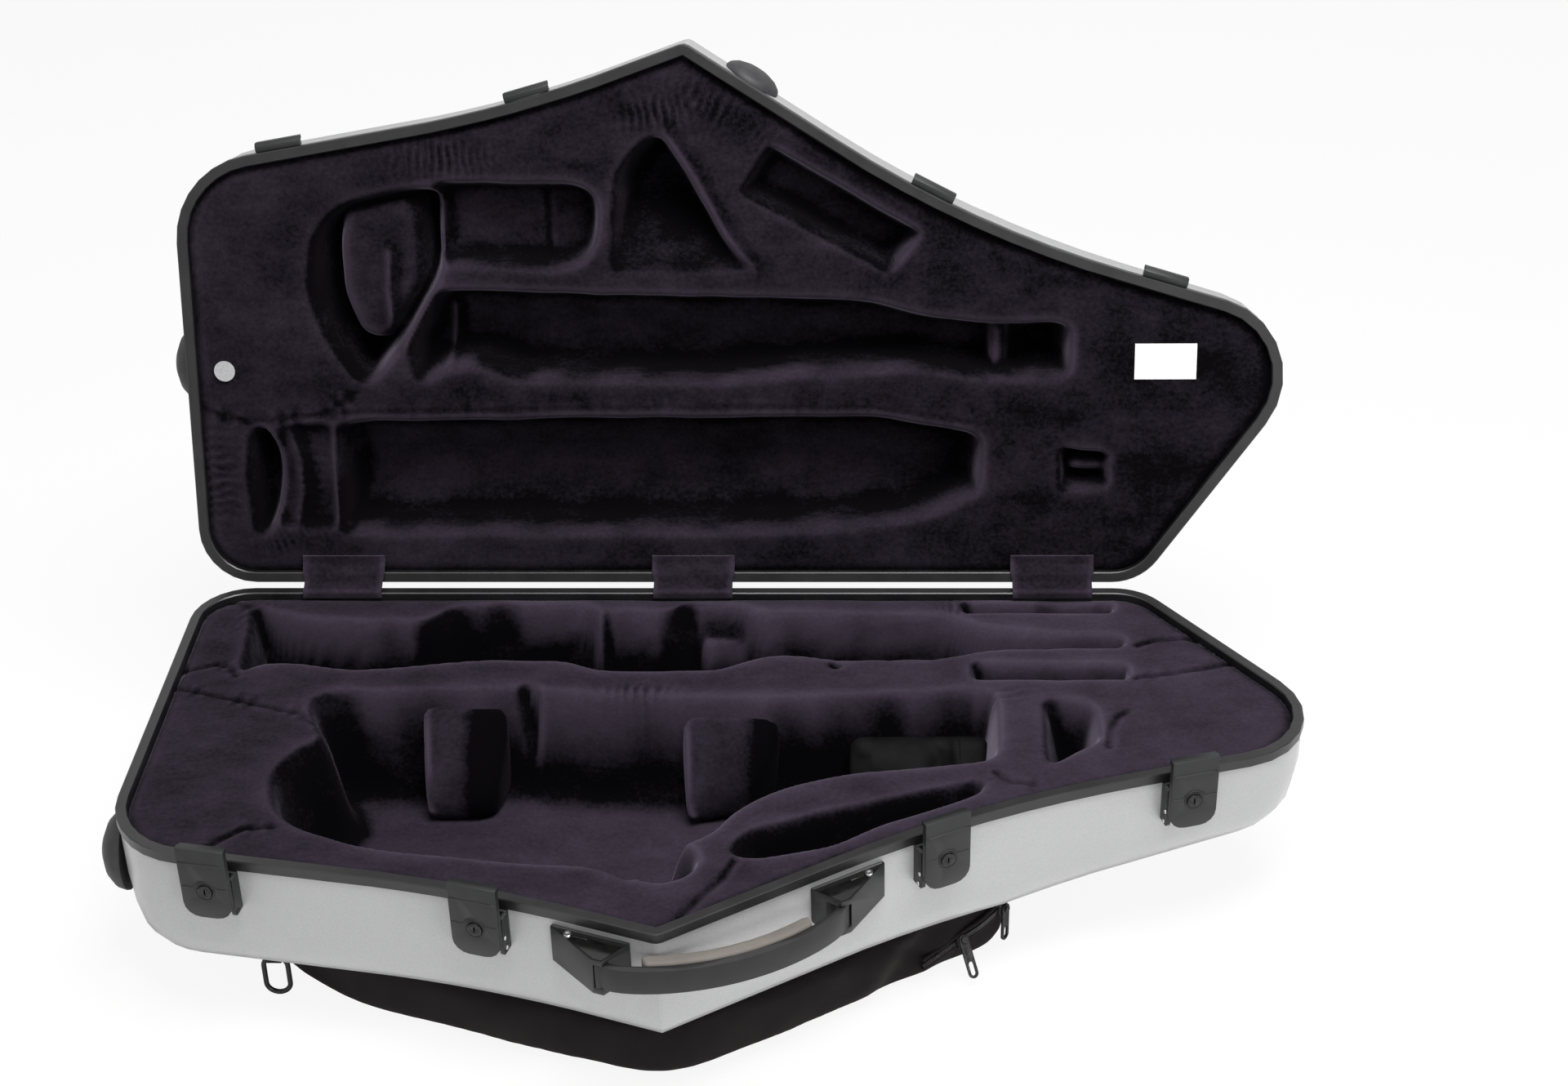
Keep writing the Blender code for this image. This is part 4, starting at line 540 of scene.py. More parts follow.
# %% The relief
class Relief:
    """A grid of plan points over the case, and how far the plush lies under the rim plane at each."""

    def __init__(self, spacing):
        low, high = case_outline(0).min(0), case_outline(0).max(0)
        self.spacing = spacing
        self.bm = bmesh.new()
        counts = [int((high[i] - low[i]) / spacing) + 1 for i in (0, 1)]
        bmesh.ops.create_grid(self.bm, x_segments=counts[0], y_segments=counts[1], size=0.5)
        size = [counts[i] * spacing for i in (0, 1)]
        bmesh.ops.scale(self.bm, vec=(size[0], size[1], 1), verts=self.bm.verts)
        middle = (low + high) / 2
        bmesh.ops.translate(self.bm, vec=(middle[0], -middle[1], 0), verts=self.bm.verts)
        self.trim(case_outline(LINING_INSET))
        self.xv = np.array([(v.co.x, -v.co.y) for v in self.bm.verts])
        self.bm.verts.index_update()
        self.pairs = np.array([[v.index for v in e.verts] for e in self.bm.edges]).T
        self.ends = np.maximum(np.bincount(self.pairs.ravel(), minlength=len(self.xv)), 1)
        # The sheet dips by 3.2 mm over the last 7 mm, where it is tucked in beside the rim.
        self.depth = PLUSH_TOP + 3.2 * np.clip(1 - self.edge_gap / 7, 0, 1) ** 2

    def trim(self, outline):
        """Drops the points outside the outline and draws the ones next to it onto it."""
        points = np.array([(v.co.x, -v.co.y) for v in self.bm.verts])
        inside = depth_inside(points, outline)
        _, place = nearest_on(points, outline)
        verts = list(self.bm.verts)
        reach = self.spacing * 0.71
        for i in np.flatnonzero(np.abs(inside) <= reach):
            verts[i].co.x, verts[i].co.y = place[i][0], -place[i][1]
        bmesh.ops.delete(self.bm, geom=[verts[i] for i in np.flatnonzero(inside < -reach)], context="VERTS")
        self.bm.verts.ensure_lookup_table()
        self.edge_gap = np.maximum(inside[inside >= -reach], 0)
        self.edge_gap[self.edge_gap <= reach] = 0

    def near(self, outline, reach):
        """The indices of the points within reach of an outline's box."""
        low, high = np.min(outline, 0) - reach, np.max(outline, 0) + reach
        return np.flatnonzero(((self.xv >= low) & (self.xv <= high)).all(1))

    def wobble(self, index, much):
        """A slow wander of the walls over some 30 mm, so that no cut is machine straight."""
        return np.array([noise.noise((x, v, 0.37)) for x, v in self.xv[index] / 30]) * much

    def hollow(self, outline, depth, lip=9, foot=12, lean=7, outset=3, corner=14, floor=None):
        """Sinks the plush inside an outline. floor gives each point's depth where the bottom isn't level."""
        outline = rounded(outline, corner)
        index = self.near(outline, outset + lip + 2)
        inside = depth_inside(self.xv[index], outline) + outset + self.wobble(index, 1.2)
        reach, drop = soft_wall(depth, lip, foot, lean)
        sunk = np.interp(inside, reach, drop)
        if floor is not None:
            sunk = np.minimum(sunk, floor(self.xv[index]))
        self.depth[index] = np.maximum(self.depth[index], sunk + np.clip(sunk, 0, PLUSH_TOP))

    def island(self, outline, depth, lip=7, foot=8, lean=6):
        """Leaves foam standing inside a hollow, up to a depth below the rim plane."""
        outline = rounded(outline, 10)
        index = self.near(outline, 40)
        bottom = self.depth[index]
        inside = depth_inside(self.xv[index], outline) + self.wobble(index, 1.0)
        reach, drop = soft_wall(95, lip, foot, lean)
        top = depth + np.interp(-inside, reach - lip, drop)
        self.depth[index] = np.minimum(bottom, np.maximum(top, depth))

    def seam(self, line, depth=2.2, width=2.6, pucker=0.5):
        """A glued or sewn line, with the plush drawn into it and puckered beside it."""
        index = self.near(line, 14)
        gap, place = nearest_on(self.xv[index], line, closed=False)
        groove = depth * np.exp(-((gap / width) ** 2))
        along = (place[:, 0] + place[:, 1] * 0.7) / 3.1
        puckers = pucker * np.sin(along + 1.7 * np.sin(along * 0.37)) * np.exp(-((gap - 4) / 4) ** 2)
        self.depth[index] += groove + puckers

    def ridge(self, line, height, width):
        """A raised welt along a line, where foam is glued under the plush."""
        index = self.near(line, width * 3)
        gap, _ = nearest_on(self.xv[index], line, closed=False)
        self.depth[index] -= height * np.exp(-((gap / width) ** 2))

    def gathers(self, centre, size, along_deg, wave, much):
        """Fine folds where spare plush is pushed together."""
        box = np.array([centre, centre], float)
        index = self.near(box, max(size) * 1.8)
        angle = math.radians(along_deg)
        offset = self.xv[index] - centre
        along = offset @ (math.cos(angle), math.sin(angle))
        across = offset @ (-math.sin(angle), math.cos(angle))
        mask = np.exp(-((along / size[0]) ** 2) - ((across / size[1]) ** 2))
        wander = np.array([noise.noise((x / 14, v / 14, 2.1)) for x, v in self.xv[index]])
        self.depth[index] += much * mask * np.sin(along * 2 * math.pi / wave + 3.0 * wander)

    def stroke(self):
        """The foam is never quite flat, so its surface wanders by 0.7 mm over some 60 mm."""
        self.depth += np.array([noise.noise((x / 60, v / 60, 5.5)) for x, v in self.xv]) * 0.7

    def eased(self, values, passes):
        """Values drawn towards their neighbours' mean, as cloth rounds off whatever it covers."""
        a, b = self.pairs
        for _ in range(passes):
            around = np.bincount(a, values[b], len(values)) + np.bincount(b, values[a], len(values))
            values = (values + around / self.ends) / 2
        return values

    def slope(self, axis):
        """How steeply the plush falls along an axis of the plan."""
        a, b = self.pairs
        run = self.xv[b, axis] - self.xv[a, axis]
        fall = (self.depth[b] - self.depth[a]) * run
        steep = np.bincount(a, fall, len(self.depth)) + np.bincount(b, fall, len(self.depth))
        steep /= np.bincount(a, run ** 2, len(self.depth)) + np.bincount(b, run ** 2, len(self.depth)) + 1e-6
        return np.tanh(self.eased(steep, 2))

    def nap_and_painted_light(self, middle, lean):
        """Painted light and shade for the plush, from 0, dark, to 1, light: a painted highlight over round
        edges and on walls facing left, and painted shade in hollows, in tight corners and on walls facing
        right or away from the hinge. Deep floors are painted a little lighter. lean is a painted light
        gradient: how much lighter the plush is painted at the case's right end than in its middle."""
        bend = self.eased(self.eased(self.depth, 2) - self.depth, 3)
        valley = self.eased(self.depth, 90) - self.depth
        across, away = self.slope(0), self.slope(1)
        deep = np.clip((self.depth - 16) / 45, 0, 1)
        # Painted highlight over round edges, painted shade in hollows, and deep floors painted a little
        # lighter.
        lay_and_painted_light = middle + 0.3 * np.tanh(bend / 0.5) + 0.15 * np.tanh(valley / 12) + 0.1 * deep
        # A painted light gradient along the case.
        lay_and_painted_light += lean * self.xv[:, 0] / 440
        # Painted shade on walls facing right and away from the hinge, and painted light on walls facing left.
        lay_and_painted_light -= 0.6 * np.maximum(across, 0) + 0.2 * np.minimum(across, 0) + 0.22 * np.maximum(away, 0)
        # The painted shade is never quite black: the values level out softly towards 0.09 and stop at 1.
        darkest = 0.09
        return np.minimum(darkest + darkest * np.log1p(np.exp((lay_and_painted_light - darkest) / darkest)), 1)

    def finished(self, name, shell_depth, to_place, material, body, middle, lean):
        """Pushes the grid down, closes it underneath inside the shell, and stands it in place."""
        bm = self.bm
        # Painted light and shade, written on every point of the grid as an attribute.
        lay_and_painted_light = self.nap_and_painted_light(middle, lean)
        layer = bm.verts.layers.float.new("nap_and_painted_light")
        for vert, depth, value in zip(bm.verts, self.depth, lay_and_painted_light):
            vert.co.z = -depth
            vert[layer] = value
        edge = [e for e in bm.edges if e.is_boundary]
        for inset, level in ((0, 40), (1.2, 74), (5, 88), (14, shell_depth - 7)):
            grown = bmesh.ops.extrude_edge_only(bm, edges=edge)["geom"]
            ring = [g for g in grown if isinstance(g, bmesh.types.BMVert)]
            edge = [g for g in grown if isinstance(g, bmesh.types.BMEdge) and g.is_boundary]
            inner = case_outline(LINING_INSET + inset)
            _, place = nearest_on(np.array([(v.co.x, -v.co.y) for v in ring]), inner)
            # The shell grows 34 mm shallower over the 270 mm beyond x = 211, mostly in its lower part.
            share = min(1.0, max(0.0, (level - 20) / 58))
            for vert, (x, v) in zip(ring, place):
                rise = 34 * max(0.0, x - 211) / 270 * share
                vert.co = (x, -v, -level + rise)
        bmesh.ops.holes_fill(bm, edges=edge, sides=0)
        bmesh.ops.recalc_face_normals(bm, faces=bm.faces)
        bmesh.ops.scale(bm, vec=(MM, MM, MM), verts=bm.verts)
        bmesh.ops.transform(bm, matrix=to_place, verts=bm.verts)
        if to_place.determinant() < 0:
            bmesh.ops.reverse_faces(bm, faces=bm.faces)
        return add_piece(name, bm, material, body)


# %% Pieces, and their painted light and shade
def add_piece(name, bm, material, body, smooth=True):
    """Turns a bmesh into a named piece that rides on a body."""
    for face in bm.faces:
        face.smooth = smooth
    mesh = bpy.data.meshes.new(name)
    bm.to_mesh(mesh)
    bm.free()
    mesh.materials.append(material)
    piece = bpy.data.objects.new(name, mesh)
    scene.collection.objects.link(piece)
    if body:
        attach(piece, body)
    print(name, "has", len(mesh.polygons), "faces")
    return piece


def write_painted_light(piece, middle, shade=None):
    """Writes painted light and shade on a plush piece: a painted highlight over round edges, painted shade in
    folds and on faces turned to the right. shade adds more painted light and shade.
    """
    mesh = piece.data
    spots = np.array([v.co[:] for v in mesh.vertices]) / MM
    normals = np.array([v.normal[:] for v in mesh.vertices])
    a, b = np.array([e.vertices[:] for e in mesh.edges]).T
    ends = np.maximum(np.bincount(np.concatenate((a, b)), minlength=len(spots)), 1)
    step = spots[b] - spots[a]
    bend = -np.bincount(a, (step * normals[a]).sum(1), len(spots)) / ends
    bend += np.bincount(b, (step * normals[b]).sum(1), len(spots)) / ends
    for _ in range(3):
        bend = (bend + (np.bincount(a, bend[b], len(bend)) + np.bincount(b, bend[a], len(bend))) / ends) / 2
    # Painted highlight over round edges, painted shade in folds and on faces turned to the right.
    lay_and_painted_light = middle + 0.3 * np.tanh(bend / 0.3) - 0.14 * normals[:, 0]
    if shade is not None:
        lay_and_painted_light += shade(spots)
    lay_and_painted_light = np.clip(lay_and_painted_light, 0, 1)
    mesh.attributes.new("nap_and_painted_light", "FLOAT", "POINT").data.foreach_set("value", lay_and_painted_light.astype(np.float32))

# %% [markdown]
# ## The base's plush
#
# The base has a long rear slot for a soprano whose rear wall steps in and out, a big well for a tenor with
# two soft blocks in it, two thin slots and a recess at the narrow end, and a curved groove for the neck
# beside a padded arm. Points are (x, v) in millimetres.

# %% Hollows of the base
GRID_MM = 2.0
base = Relief(GRID_MM)
TENOR_WELL = [
    (-325, 152), (-306, 141), (-240, 139), (-150, 136), (-88, 146), (35, 149), (96, 145), (213, 134),
    (213, 234), (150, 244), (92, 254), (50, 268), (14, 300), (4, 322), (-28, 344), (-52, 384), (-76, 364),
    (-150, 357), (-250, 343), (-308, 318), (-333, 284), (-336, 246), (-322, 218), (-302, 206), (-322, 180),
]
base.hollow(TENOR_WELL, 92, lip=10, foot=16, lean=9, corner=22)
SOPRANO_SLOT = [
    (-396, 20), (-352, 37), (-300, 43), (-246, 43), (-232, 22), (-200, 20), (-184, 15), (-120, 15),
    (-108, 27), (-48, 28), (-40, 16), (4, 16), (22, 30), (178, 32), (206, 52), (262, 60), (316, 62),
    (316, 84), (212, 87), (150, 104), (112, 101), (86, 103), (58, 95), (28, 95), (-6, 117), (-100, 118),
    (-128, 103), (-188, 102), (-262, 113), (-300, 116), (-344, 107), (-372, 107), (-386, 124),
]
base.hollow(SOPRANO_SLOT, 70, lip=8, foot=10, lean=6)
print("two long hollows, deepest point", round(float(base.depth.max())), "mm down")

# %% Smaller hollows, and foam left standing in them
base.hollow([(187, 16), (308, 15), (308, 31), (187, 31)], 46, lip=3, foot=3, lean=2, outset=1, corner=4)
base.hollow([(192, 104), (314, 104), (314, 127), (192, 127)], 46, lip=4, foot=3, lean=3, outset=1, corner=4)
base.hollow([(241, 150), (270, 147), (288, 160), (290, 210), (268, 222), (252, 238), (240, 238)],
            56, lip=10, foot=10, lean=12)
base.hollow([(9, 345), (22, 318), (66, 300), (200, 252), (196, 272), (120, 312), (85, 337), (30, 352)],
            42, lip=7, foot=8, lean=8)
base.hollow(oval((-36, 352), (30, 26), 13), 88, lip=7, foot=14, lean=10, corner=4)
base.hollow([(-165, 134), (-141, 134), (-138, 170), (-158, 172)], 84, lip=5, foot=8, lean=6, outset=1)
base.island([(-28, 12), (24, 12), (22, 33), (-26, 33)], 34, lip=6, foot=4)
base.island([(96, 104), (108, 86), (130, 78), (196, 78), (208, 90), (150, 106)], 16, lip=8, foot=6)
base.island([(-113, 10), (-101, 10), (-101, 34), (-113, 34)], 8, lip=4, foot=4)
base.hollow(oval((85, 108), (6, 4), 8), 14, lip=2, foot=3, lean=10, outset=1, corner=4)
print("small hollows cut")

# %% Seams and gathers of the base
base.depth = base.eased(base.depth, 4)
base.stroke()
for line in (
    [(-443, 136), (-400, 150), (-352, 166), (-325, 175), (-308, 192), (-300, 208)],
    [(-436, 118), (-404, 108), (-392, 112), (-386, 124)],
    [(-426, 12), (-404, 20), (-396, 24)],
    [(-372, 352), (-352, 330), (-338, 318), (-318, 316)],
    [(323, 80), (338, 72), (356, 70), (386, 70), (414, 78)],
    [(318, 125), (345, 119), (372, 112), (402, 100), (428, 96)],
    [(291, 216), (292, 196), (300, 178), (308, 170)],
    [(206, 248), (216, 258), (232, 262)],
    [(18, 352), (10, 372), (-4, 392), (-18, 416)],
):
    base.seam(line)
base.gathers((176, 26), (10, 16), 0, 6, 0.9)
base.gathers((362, 44), (8, 18), 60, 5, 0.8)
base.gathers((382, 84), (9, 10), 70, 5, 0.8)
base.gathers((-392, 40), (12, 22), 25, 7, 0.6)
base.gathers((-70, 146), (26, 8), 0, 8, 1.2)
base.gathers((206, 150), (8, 30), 80, 9, 0.8)
# 0.39 sets how light the base's plush is painted overall, and 0.08 a painted light gradient, lighter towards
# the right end.
base_plush = base.finished("base_plush", 110, TO_BASE, plush, "base", 0.39, 0.08)
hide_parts("base_lining", "end_pad_left", "end_pad_right", "bell_pad")

# %% [markdown]
# ## The lid's plush
#
# The lid has a round-bottomed trough near the hinge with a crescent beyond its left end, a second trough
# above it, a drop-shaped channel round an island for the bell, a round pocket, a dark slope at the nose, a
# tilted pocket and a small one. It is the same relief, made with the lid lying flat and then stood up.

# %% Hollows of the lid
lid = Relief(GRID_MM)


def round_bottom(deepest, middle, half_width, rise):
    """A floor that curves up to its sides, as a trough for a tube does."""
    return lambda points: deepest - rise * ((points[:, 1] - middle) / half_width) ** 2


def slope(from_v, to_v, deepest):
    """A floor that falls smoothly away from the hinge."""
    def floor(points):
        share = np.clip((points[:, 1] - from_v) / (to_v - from_v), 0, 1)
        return deepest * share * share * (3 - 2 * share)
    return floor


lid.hollow([(-378, 48), (-322, 44), (-322, 140), (-372, 138)], 8, lip=12, foot=12, lean=30)
lid.hollow([(-396, 42), (-382, 40), (-370, 62), (-365, 90), (-369, 120), (-380, 138), (-394, 132),
            (-399, 90)], 34, lip=7, foot=8, lean=10)
lid.hollow([(-328, 40), (0, 40), (100, 44), (160, 54), (200, 72), (205, 84), (205, 124), (194, 132),
            (112, 146), (-300, 143), (-326, 138)], 50, lip=9, foot=14, lean=12,
           floor=round_bottom(50, 92, 52, 16))
lid.hollow([(-258, 168), (-240, 171), (-222, 181), (-196, 182), (-172, 169), (0, 168), (60, 174), (164, 178),
            (190, 171), (264, 169), (274, 176), (275, 214), (264, 221), (190, 222), (150, 228), (110, 240),
            (0, 243), (-100, 246), (-236, 250), (-262, 200)], 50, lip=8, foot=12, lean=10,
           floor=round_bottom(50, 207, 42, 14))
lid.hollow([(-300, 167), (-318, 190), (-334, 220), (-340, 250), (-336, 285), (-322, 308), (-300, 322),
            (-262, 331), (-232, 333), (-222, 322), (-224, 262), (-240, 232), (-262, 198), (-286, 170)],
           60, lip=9, foot=14, lean=10)
lid.island([(-298, 208), (-278, 203), (-262, 224), (-248, 248), (-244, 262), (-244, 300), (-250, 322),
            (-304, 312), (-312, 280), (-311, 240)], 15, lip=9, foot=8, lean=10)
lid.hollow([(-236, 264), (-130, 260), (-112, 268), (-101, 285), (-99, 312), (-104, 327), (-122, 335),
            (-236, 336)], 34, lip=8, foot=10, lean=9, floor=round_bottom(34, 298, 38, 8))
lid.hollow([(-94, 252), (-93, 300), (-90, 338), (-72, 362), (-52, 374), (-24, 332), (-2, 288), (18, 264),
            (44, 250)], 66, lip=7, foot=12, lean=8, floor=slope(250, 338, 66))
lid.hollow([(8, 324), (128, 258), (153, 291), (34, 362)], 34, lip=6, foot=8, lean=7, corner=4)
lid.hollow([(263, 77), (305, 81), (305, 112), (263, 117)], 30, lip=5, foot=5, lean=6, outset=2, corner=4)
print("lid hollows cut, deepest point", round(float(lid.depth.max())), "mm down")

# %% Steps, ribs and seams of the lid
lid.island([(208, 160), (221, 160), (221, 232), (208, 232)], 26, lip=4, foot=5, lean=5)
lid.hollow([(224, 176), (268, 176), (268, 214), (224, 214)], 58, lip=5, foot=6, lean=5, outset=1)
lid.island([(272, 93), (310, 93), (310, 104), (272, 104)], 15, lip=4, foot=4)
lid.depth = lid.eased(lid.depth, 4)
lid.stroke()
lid.ridge([(-271, 216), (-273, 245), (-271, 274)], 6, 5)
lid.ridge([(-358, 56), (-353, 78), (-353, 104), (-360, 128)], 5, 6)
lid.ridge([(-228, 186), (-226, 226)], 7, 4)
lid.ridge([(-52, 378), (-24, 334), (-2, 290), (20, 262)], 2.5, 6)
lid.seam([(-145, 268), (-145, 328)], depth=1.6, width=2.2)
lid.seam([(-436, 152), (-410, 143), (-388, 138), (-352, 142), (-328, 144), (-304, 162)],
         depth=1.5, pucker=0.7)
lid.seam([(-320, 146), (-40, 149), (110, 149), (190, 137)], depth=1.0, width=2.2, pucker=0.3)
lid.gathers((-226, 352), (34, 14), 0, 6, 1.3)
lid.gathers((-56, 386), (26, 13), 10, 6.5, 1.3)
lid.gathers((-14, 394), (24, 12), -30, 7, 1.1)
lid.gathers((28, 366), (14, 10), -30, 6, 0.8)
lid.gathers((-420, 90), (36, 14), 90, 8, 0.9)
lid.gathers((-345, 92), (38, 9), 90, 8, 0.6)
lid.gathers((-372, 36), (22, 8), 20, 6, 0.7)
# The lid's plush is painted darker than the base's, at 0.19, with a painted light gradient that falls by 0.06
# towards the right end.
lid_plush = lid.finished("lid_plush", 100, TO_LID, plush, "lid", 0.19, -0.06)
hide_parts("lid_lining")

# %% [markdown]
# ## Padded blocks in the tenor well
#
# Two foam blocks wrapped in plush stand in the well and hold the saxophone's body. A sewn block swells a
# little between its edges, so it starts slightly small and cloth simulation blows it up: the mesh is
# remeshed evenly and given a pressure from inside, and its movement is capped so that it never leaves its
# place. The simulation takes the same steps each time, so one run differs from the next by a fraction of a
# millimetre at most.

# %% A helper that swells a sewn cover
CLOTH_STEPS = 14


def swollen(piece, voxel_mm, pressure, cap_mm, hold=None):
    """Evens the mesh, then lets a pressure push its cover out by at most cap_mm. hold picks what stays."""
    bpy.context.view_layer.objects.active = piece
    remesh = piece.modifiers.new("even mesh", "REMESH")
    remesh.mode = "VOXEL"
    remesh.voxel_size = voxel_mm * MM
    remesh.use_smooth_shade = True
    with bpy.context.temp_override(object=piece):
        bpy.ops.object.modifier_apply(modifier=remesh.name)
    rest = np.array([v.co[:] for v in piece.data.vertices])
    cloth = piece.modifiers.new("cover", "CLOTH")
    cloth.settings.quality = 6
    cloth.settings.mass = 0.25
    cloth.settings.tension_stiffness = 25
    cloth.settings.compression_stiffness = 25
    cloth.settings.bending_stiffness = 2
    cloth.settings.use_pressure = True
    cloth.settings.uniform_pressure_force = pressure
    cloth.settings.effector_weights.gravity = 0
    cloth.collision_settings.use_collision = False
    if hold is not None:
        kept = piece.vertex_groups.new(name="held")
        kept.add([int(i) for i in np.flatnonzero(hold(rest))], 1.0, "REPLACE")
        cloth.settings.vertex_group_mass = "held"
    for step in range(1, CLOTH_STEPS + 1):
        scene.frame_set(step)
    seen = piece.evaluated_get(bpy.context.evaluated_depsgraph_get())
    moved = np.array([v.co[:] for v in seen.data.vertices]) - rest
    length = np.linalg.norm(moved, axis=1)
    moved *= np.minimum(1, cap_mm * MM / np.maximum(length, 1e-9))[:, None]
    piece.modifiers.remove(cloth)
    piece.vertex_groups.clear()
    for vert, place in zip(piece.data.vertices, rest + moved):
        vert.co = place
    scene.frame_set(1)
    print(piece.name, "swelled by up to", round(float(np.minimum(length, cap_mm * MM).max() / MM), 1), "mm")


def refined(piece):
    """One level of subdivision, applied."""
    smooth = piece.modifiers.new("finer", "SUBSURF")
    smooth.levels = smooth.render_levels = 1
    with bpy.context.temp_override(object=piece):
        bpy.ops.object.modifier_apply(modifier=smooth.name)


def prism(outline, low, high, bevel):
    """A closed body over a plan outline, from a height in mm up to the height that high gives by v."""
    bm = bmesh.new()
    verts = [bm.verts.new((x, -v, low)) for x, v in outline]
    face = bm.faces.new(verts)
    grown = bmesh.ops.extrude_face_region(bm, geom=[face])["geom"]
    for vert in (g for g in grown if isinstance(g, bmesh.types.BMVert)):
        vert.co.z = high(-vert.co.y)
    bmesh.ops.recalc_face_normals(bm, faces=bm.faces)
    bmesh.ops.bevel(bm, geom=list(bm.edges), offset=bevel, segments=3, profile=0.5, affect="EDGES",
                    material=-1, clamp_overlap=True)
    return bm


def placed(bm, to_place):
    """Takes a shape from millimetres in the case's plan to its place."""
    bmesh.ops.scale(bm, vec=(MM, MM, MM), verts=bm.verts)
    bmesh.ops.transform(bm, matrix=to_place, verts=bm.verts)
    return bm


# %% The two blocks
# Each block: its plan outline, and the x where painted shade on its right shoulder begins.
# Then the height of a block's top at its rear, how far it falls to the front, and the height of its foot.
BLOCKS = {
    "support_block_left": (
        [(-238.5, 142), (-169, 143.4), (-177.8, 187), (-190, 192.7), (-230.6, 193.6)], -197),
    "support_block_middle": (
        [(-35.2, 150.5), (46.6, 153.1), (33.4, 173.8), (19.4, 186.6), (-28.2, 198.9)], 24),
}
BLOCK_REAR, BLOCK_FALL, BLOCK_FOOT = -14, 62, -96
for name, (outline, painted_shade_from_x) in BLOCKS.items():
    rear, front = min(v for _, v in outline), max(v for _, v in outline)
    bm = prism(outline, BLOCK_FOOT, lambda v: BLOCK_REAR - BLOCK_FALL * (v - rear) / (front - rear), 9)
    block = add_piece(name.replace("support", "padded"), placed(bm, TO_BASE), plush, "base")
    swollen(block, voxel_mm=4, pressure=4, cap_mm=3)
    refined(block)
    # A welt stands up along the left edge, where the cover is sewn. It catches the light, and a painted
    # highlight along it makes it lighter still.
    welt_top, welt_foot = [TO_BASE @ (Vector((x, -v, z)) * MM) for x, v, z in (
        (outline[0][0] + 3, outline[0][1] + 6, -19), (outline[-1][0] + 3, outline[-1][1] - 4, -86))]
    down = welt_foot - welt_top
    push = np.zeros(len(block.data.vertices))
    normals = [vert.normal.copy() for vert in block.data.vertices]
    for i, vert in enumerate(block.data.vertices):
        share = min(1, max(0, (vert.co - welt_top).dot(down) / down.dot(down)))
        gap = (vert.co - welt_top - down * share).length / MM
        push[i] = math.exp(-((gap / 3.6) ** 2)) * (0.7 + 0.5 * share)
    for vert, normal, much in zip(block.data.vertices, normals, push):
        vert.co += normal * (2.6 * much * MM)
    # Painted highlight along the welt, and painted shade over the block's right shoulder.
    write_painted_light(block, 0.30, lambda spots: 0.6 * push - 0.5 / (1 + np.exp(-(spots[:, 0] - painted_shade_from_x) / 4)))
    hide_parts(name)

# %% [markdown]
# ## The leather pouch
#
# A small soft pouch leans on the well's rear wall, at the right. It is a flat bag of thin black leather,
# half empty, with a flap folded over its right end and a row of stitches along the fold. It is swelled the
# same way, and its dents are pressed in along its own thickness.

# %% Accessory pouch
# The pouch leans back by 40 degrees and is turned by 0.6 degrees.
POUCH_PLACE = TO_BASE @ Matrix.Translation(Vector((150, -174, -73.5)) * MM)
POUCH_PLACE = POUCH_PLACE @ Matrix.Rotation(math.radians(0.6), 4, "Z")
POUCH_PLACE = POUCH_PLACE @ Matrix.Rotation(math.radians(40), 4, "X")
# Half its length and width before it swells, the heights of its underside and top, and the fold's place.
POUCH_HALF = (54.05, 36)
POUCH_UNDER, POUCH_TOP = 2, 23
FLAP_X = 25
pouch_corners = [(sx * POUCH_HALF[0], sv * POUCH_HALF[1]) for sx, sv in ((-1, -1), (1, -1), (1, 1), (-1, 1))]
bm = prism(pouch_corners, POUCH_UNDER, lambda v: POUCH_TOP, 9)
pouch = add_piece("leather_pouch", placed(bm, POUCH_PLACE), leather, "base")
swollen(pouch, voxel_mm=3.5, pressure=5, cap_mm=4)
refined(pouch)


def pouch_dent(x, y, height):
    """How far the leather lies above its swelled shape: dents beside the flap, creases and a step."""
    top = min(1, max(0, (height - 8) / 12))
    sag = 6.5 * math.exp(-(((x - FLAP_X + 10) / 9) ** 2) - (((y - 4) / 17) ** 2))
    sag += 3.5 * math.exp(-(((x + 28) / 17) ** 2) - (((y + 8) / 16) ** 2))
    sag += 2.5 * math.exp(-(((x - 40) / 10) ** 2) - (((y + 14) / 12) ** 2))
    crease = math.sin((x * 0.9 + y * 0.5) / 4.3 + 2 * noise.noise((x / 12, y / 12, 1.7)))
    step = 1.7 / (1 + math.exp(-(x - FLAP_X) / 0.6))
    return top * (step - sag + crease * math.exp(-(((x - FLAP_X + 8) / 14) ** 2)))


thickness = POUCH_PLACE.to_3x3() @ Vector((0, 0, 1))
to_pouch = POUCH_PLACE.inverted()
for vert in pouch.data.vertices:
    x, y, height = (to_pouch @ vert.co) / MM
    vert.co += thickness * (pouch_dent(x, y, height) * MM)
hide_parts("accessory_pouch")

# %% Stitches along the pouch's fold
# One stitch every 3 mm across the pouch.
STITCHES = range(-33, 34, 3)
surface = [(to_pouch @ vert.co) / MM for vert in pouch.data.vertices]
bm = bmesh.new()
for y in STITCHES:
    x = FLAP_X + 6
    height = max(point.z for point in surface if abs(point.x - x) < 3 and abs(point.y - y) < 3)
    spot = Matrix.Translation((x, y, height + 0.05)) @ Matrix.Diagonal((0.5, 1.0, 0.35, 1))
    bmesh.ops.create_uvsphere(bm, u_segments=8, v_segments=6, radius=1, matrix=spot)
stitches = add_piece("pouch_stitches", placed(bm, POUCH_PLACE), leather, "base")
print("pouch dressed with", len(STITCHES), "stitches")

# %% [markdown]
# ## Hinge flaps
#
# Three strips of the same plush hide the hinges. Each comes out from under the base's plush, crosses both
# rims and ends on the lid's plush. A strip is a grid laid along a curve and thickened, and it bends between
# base and lid.

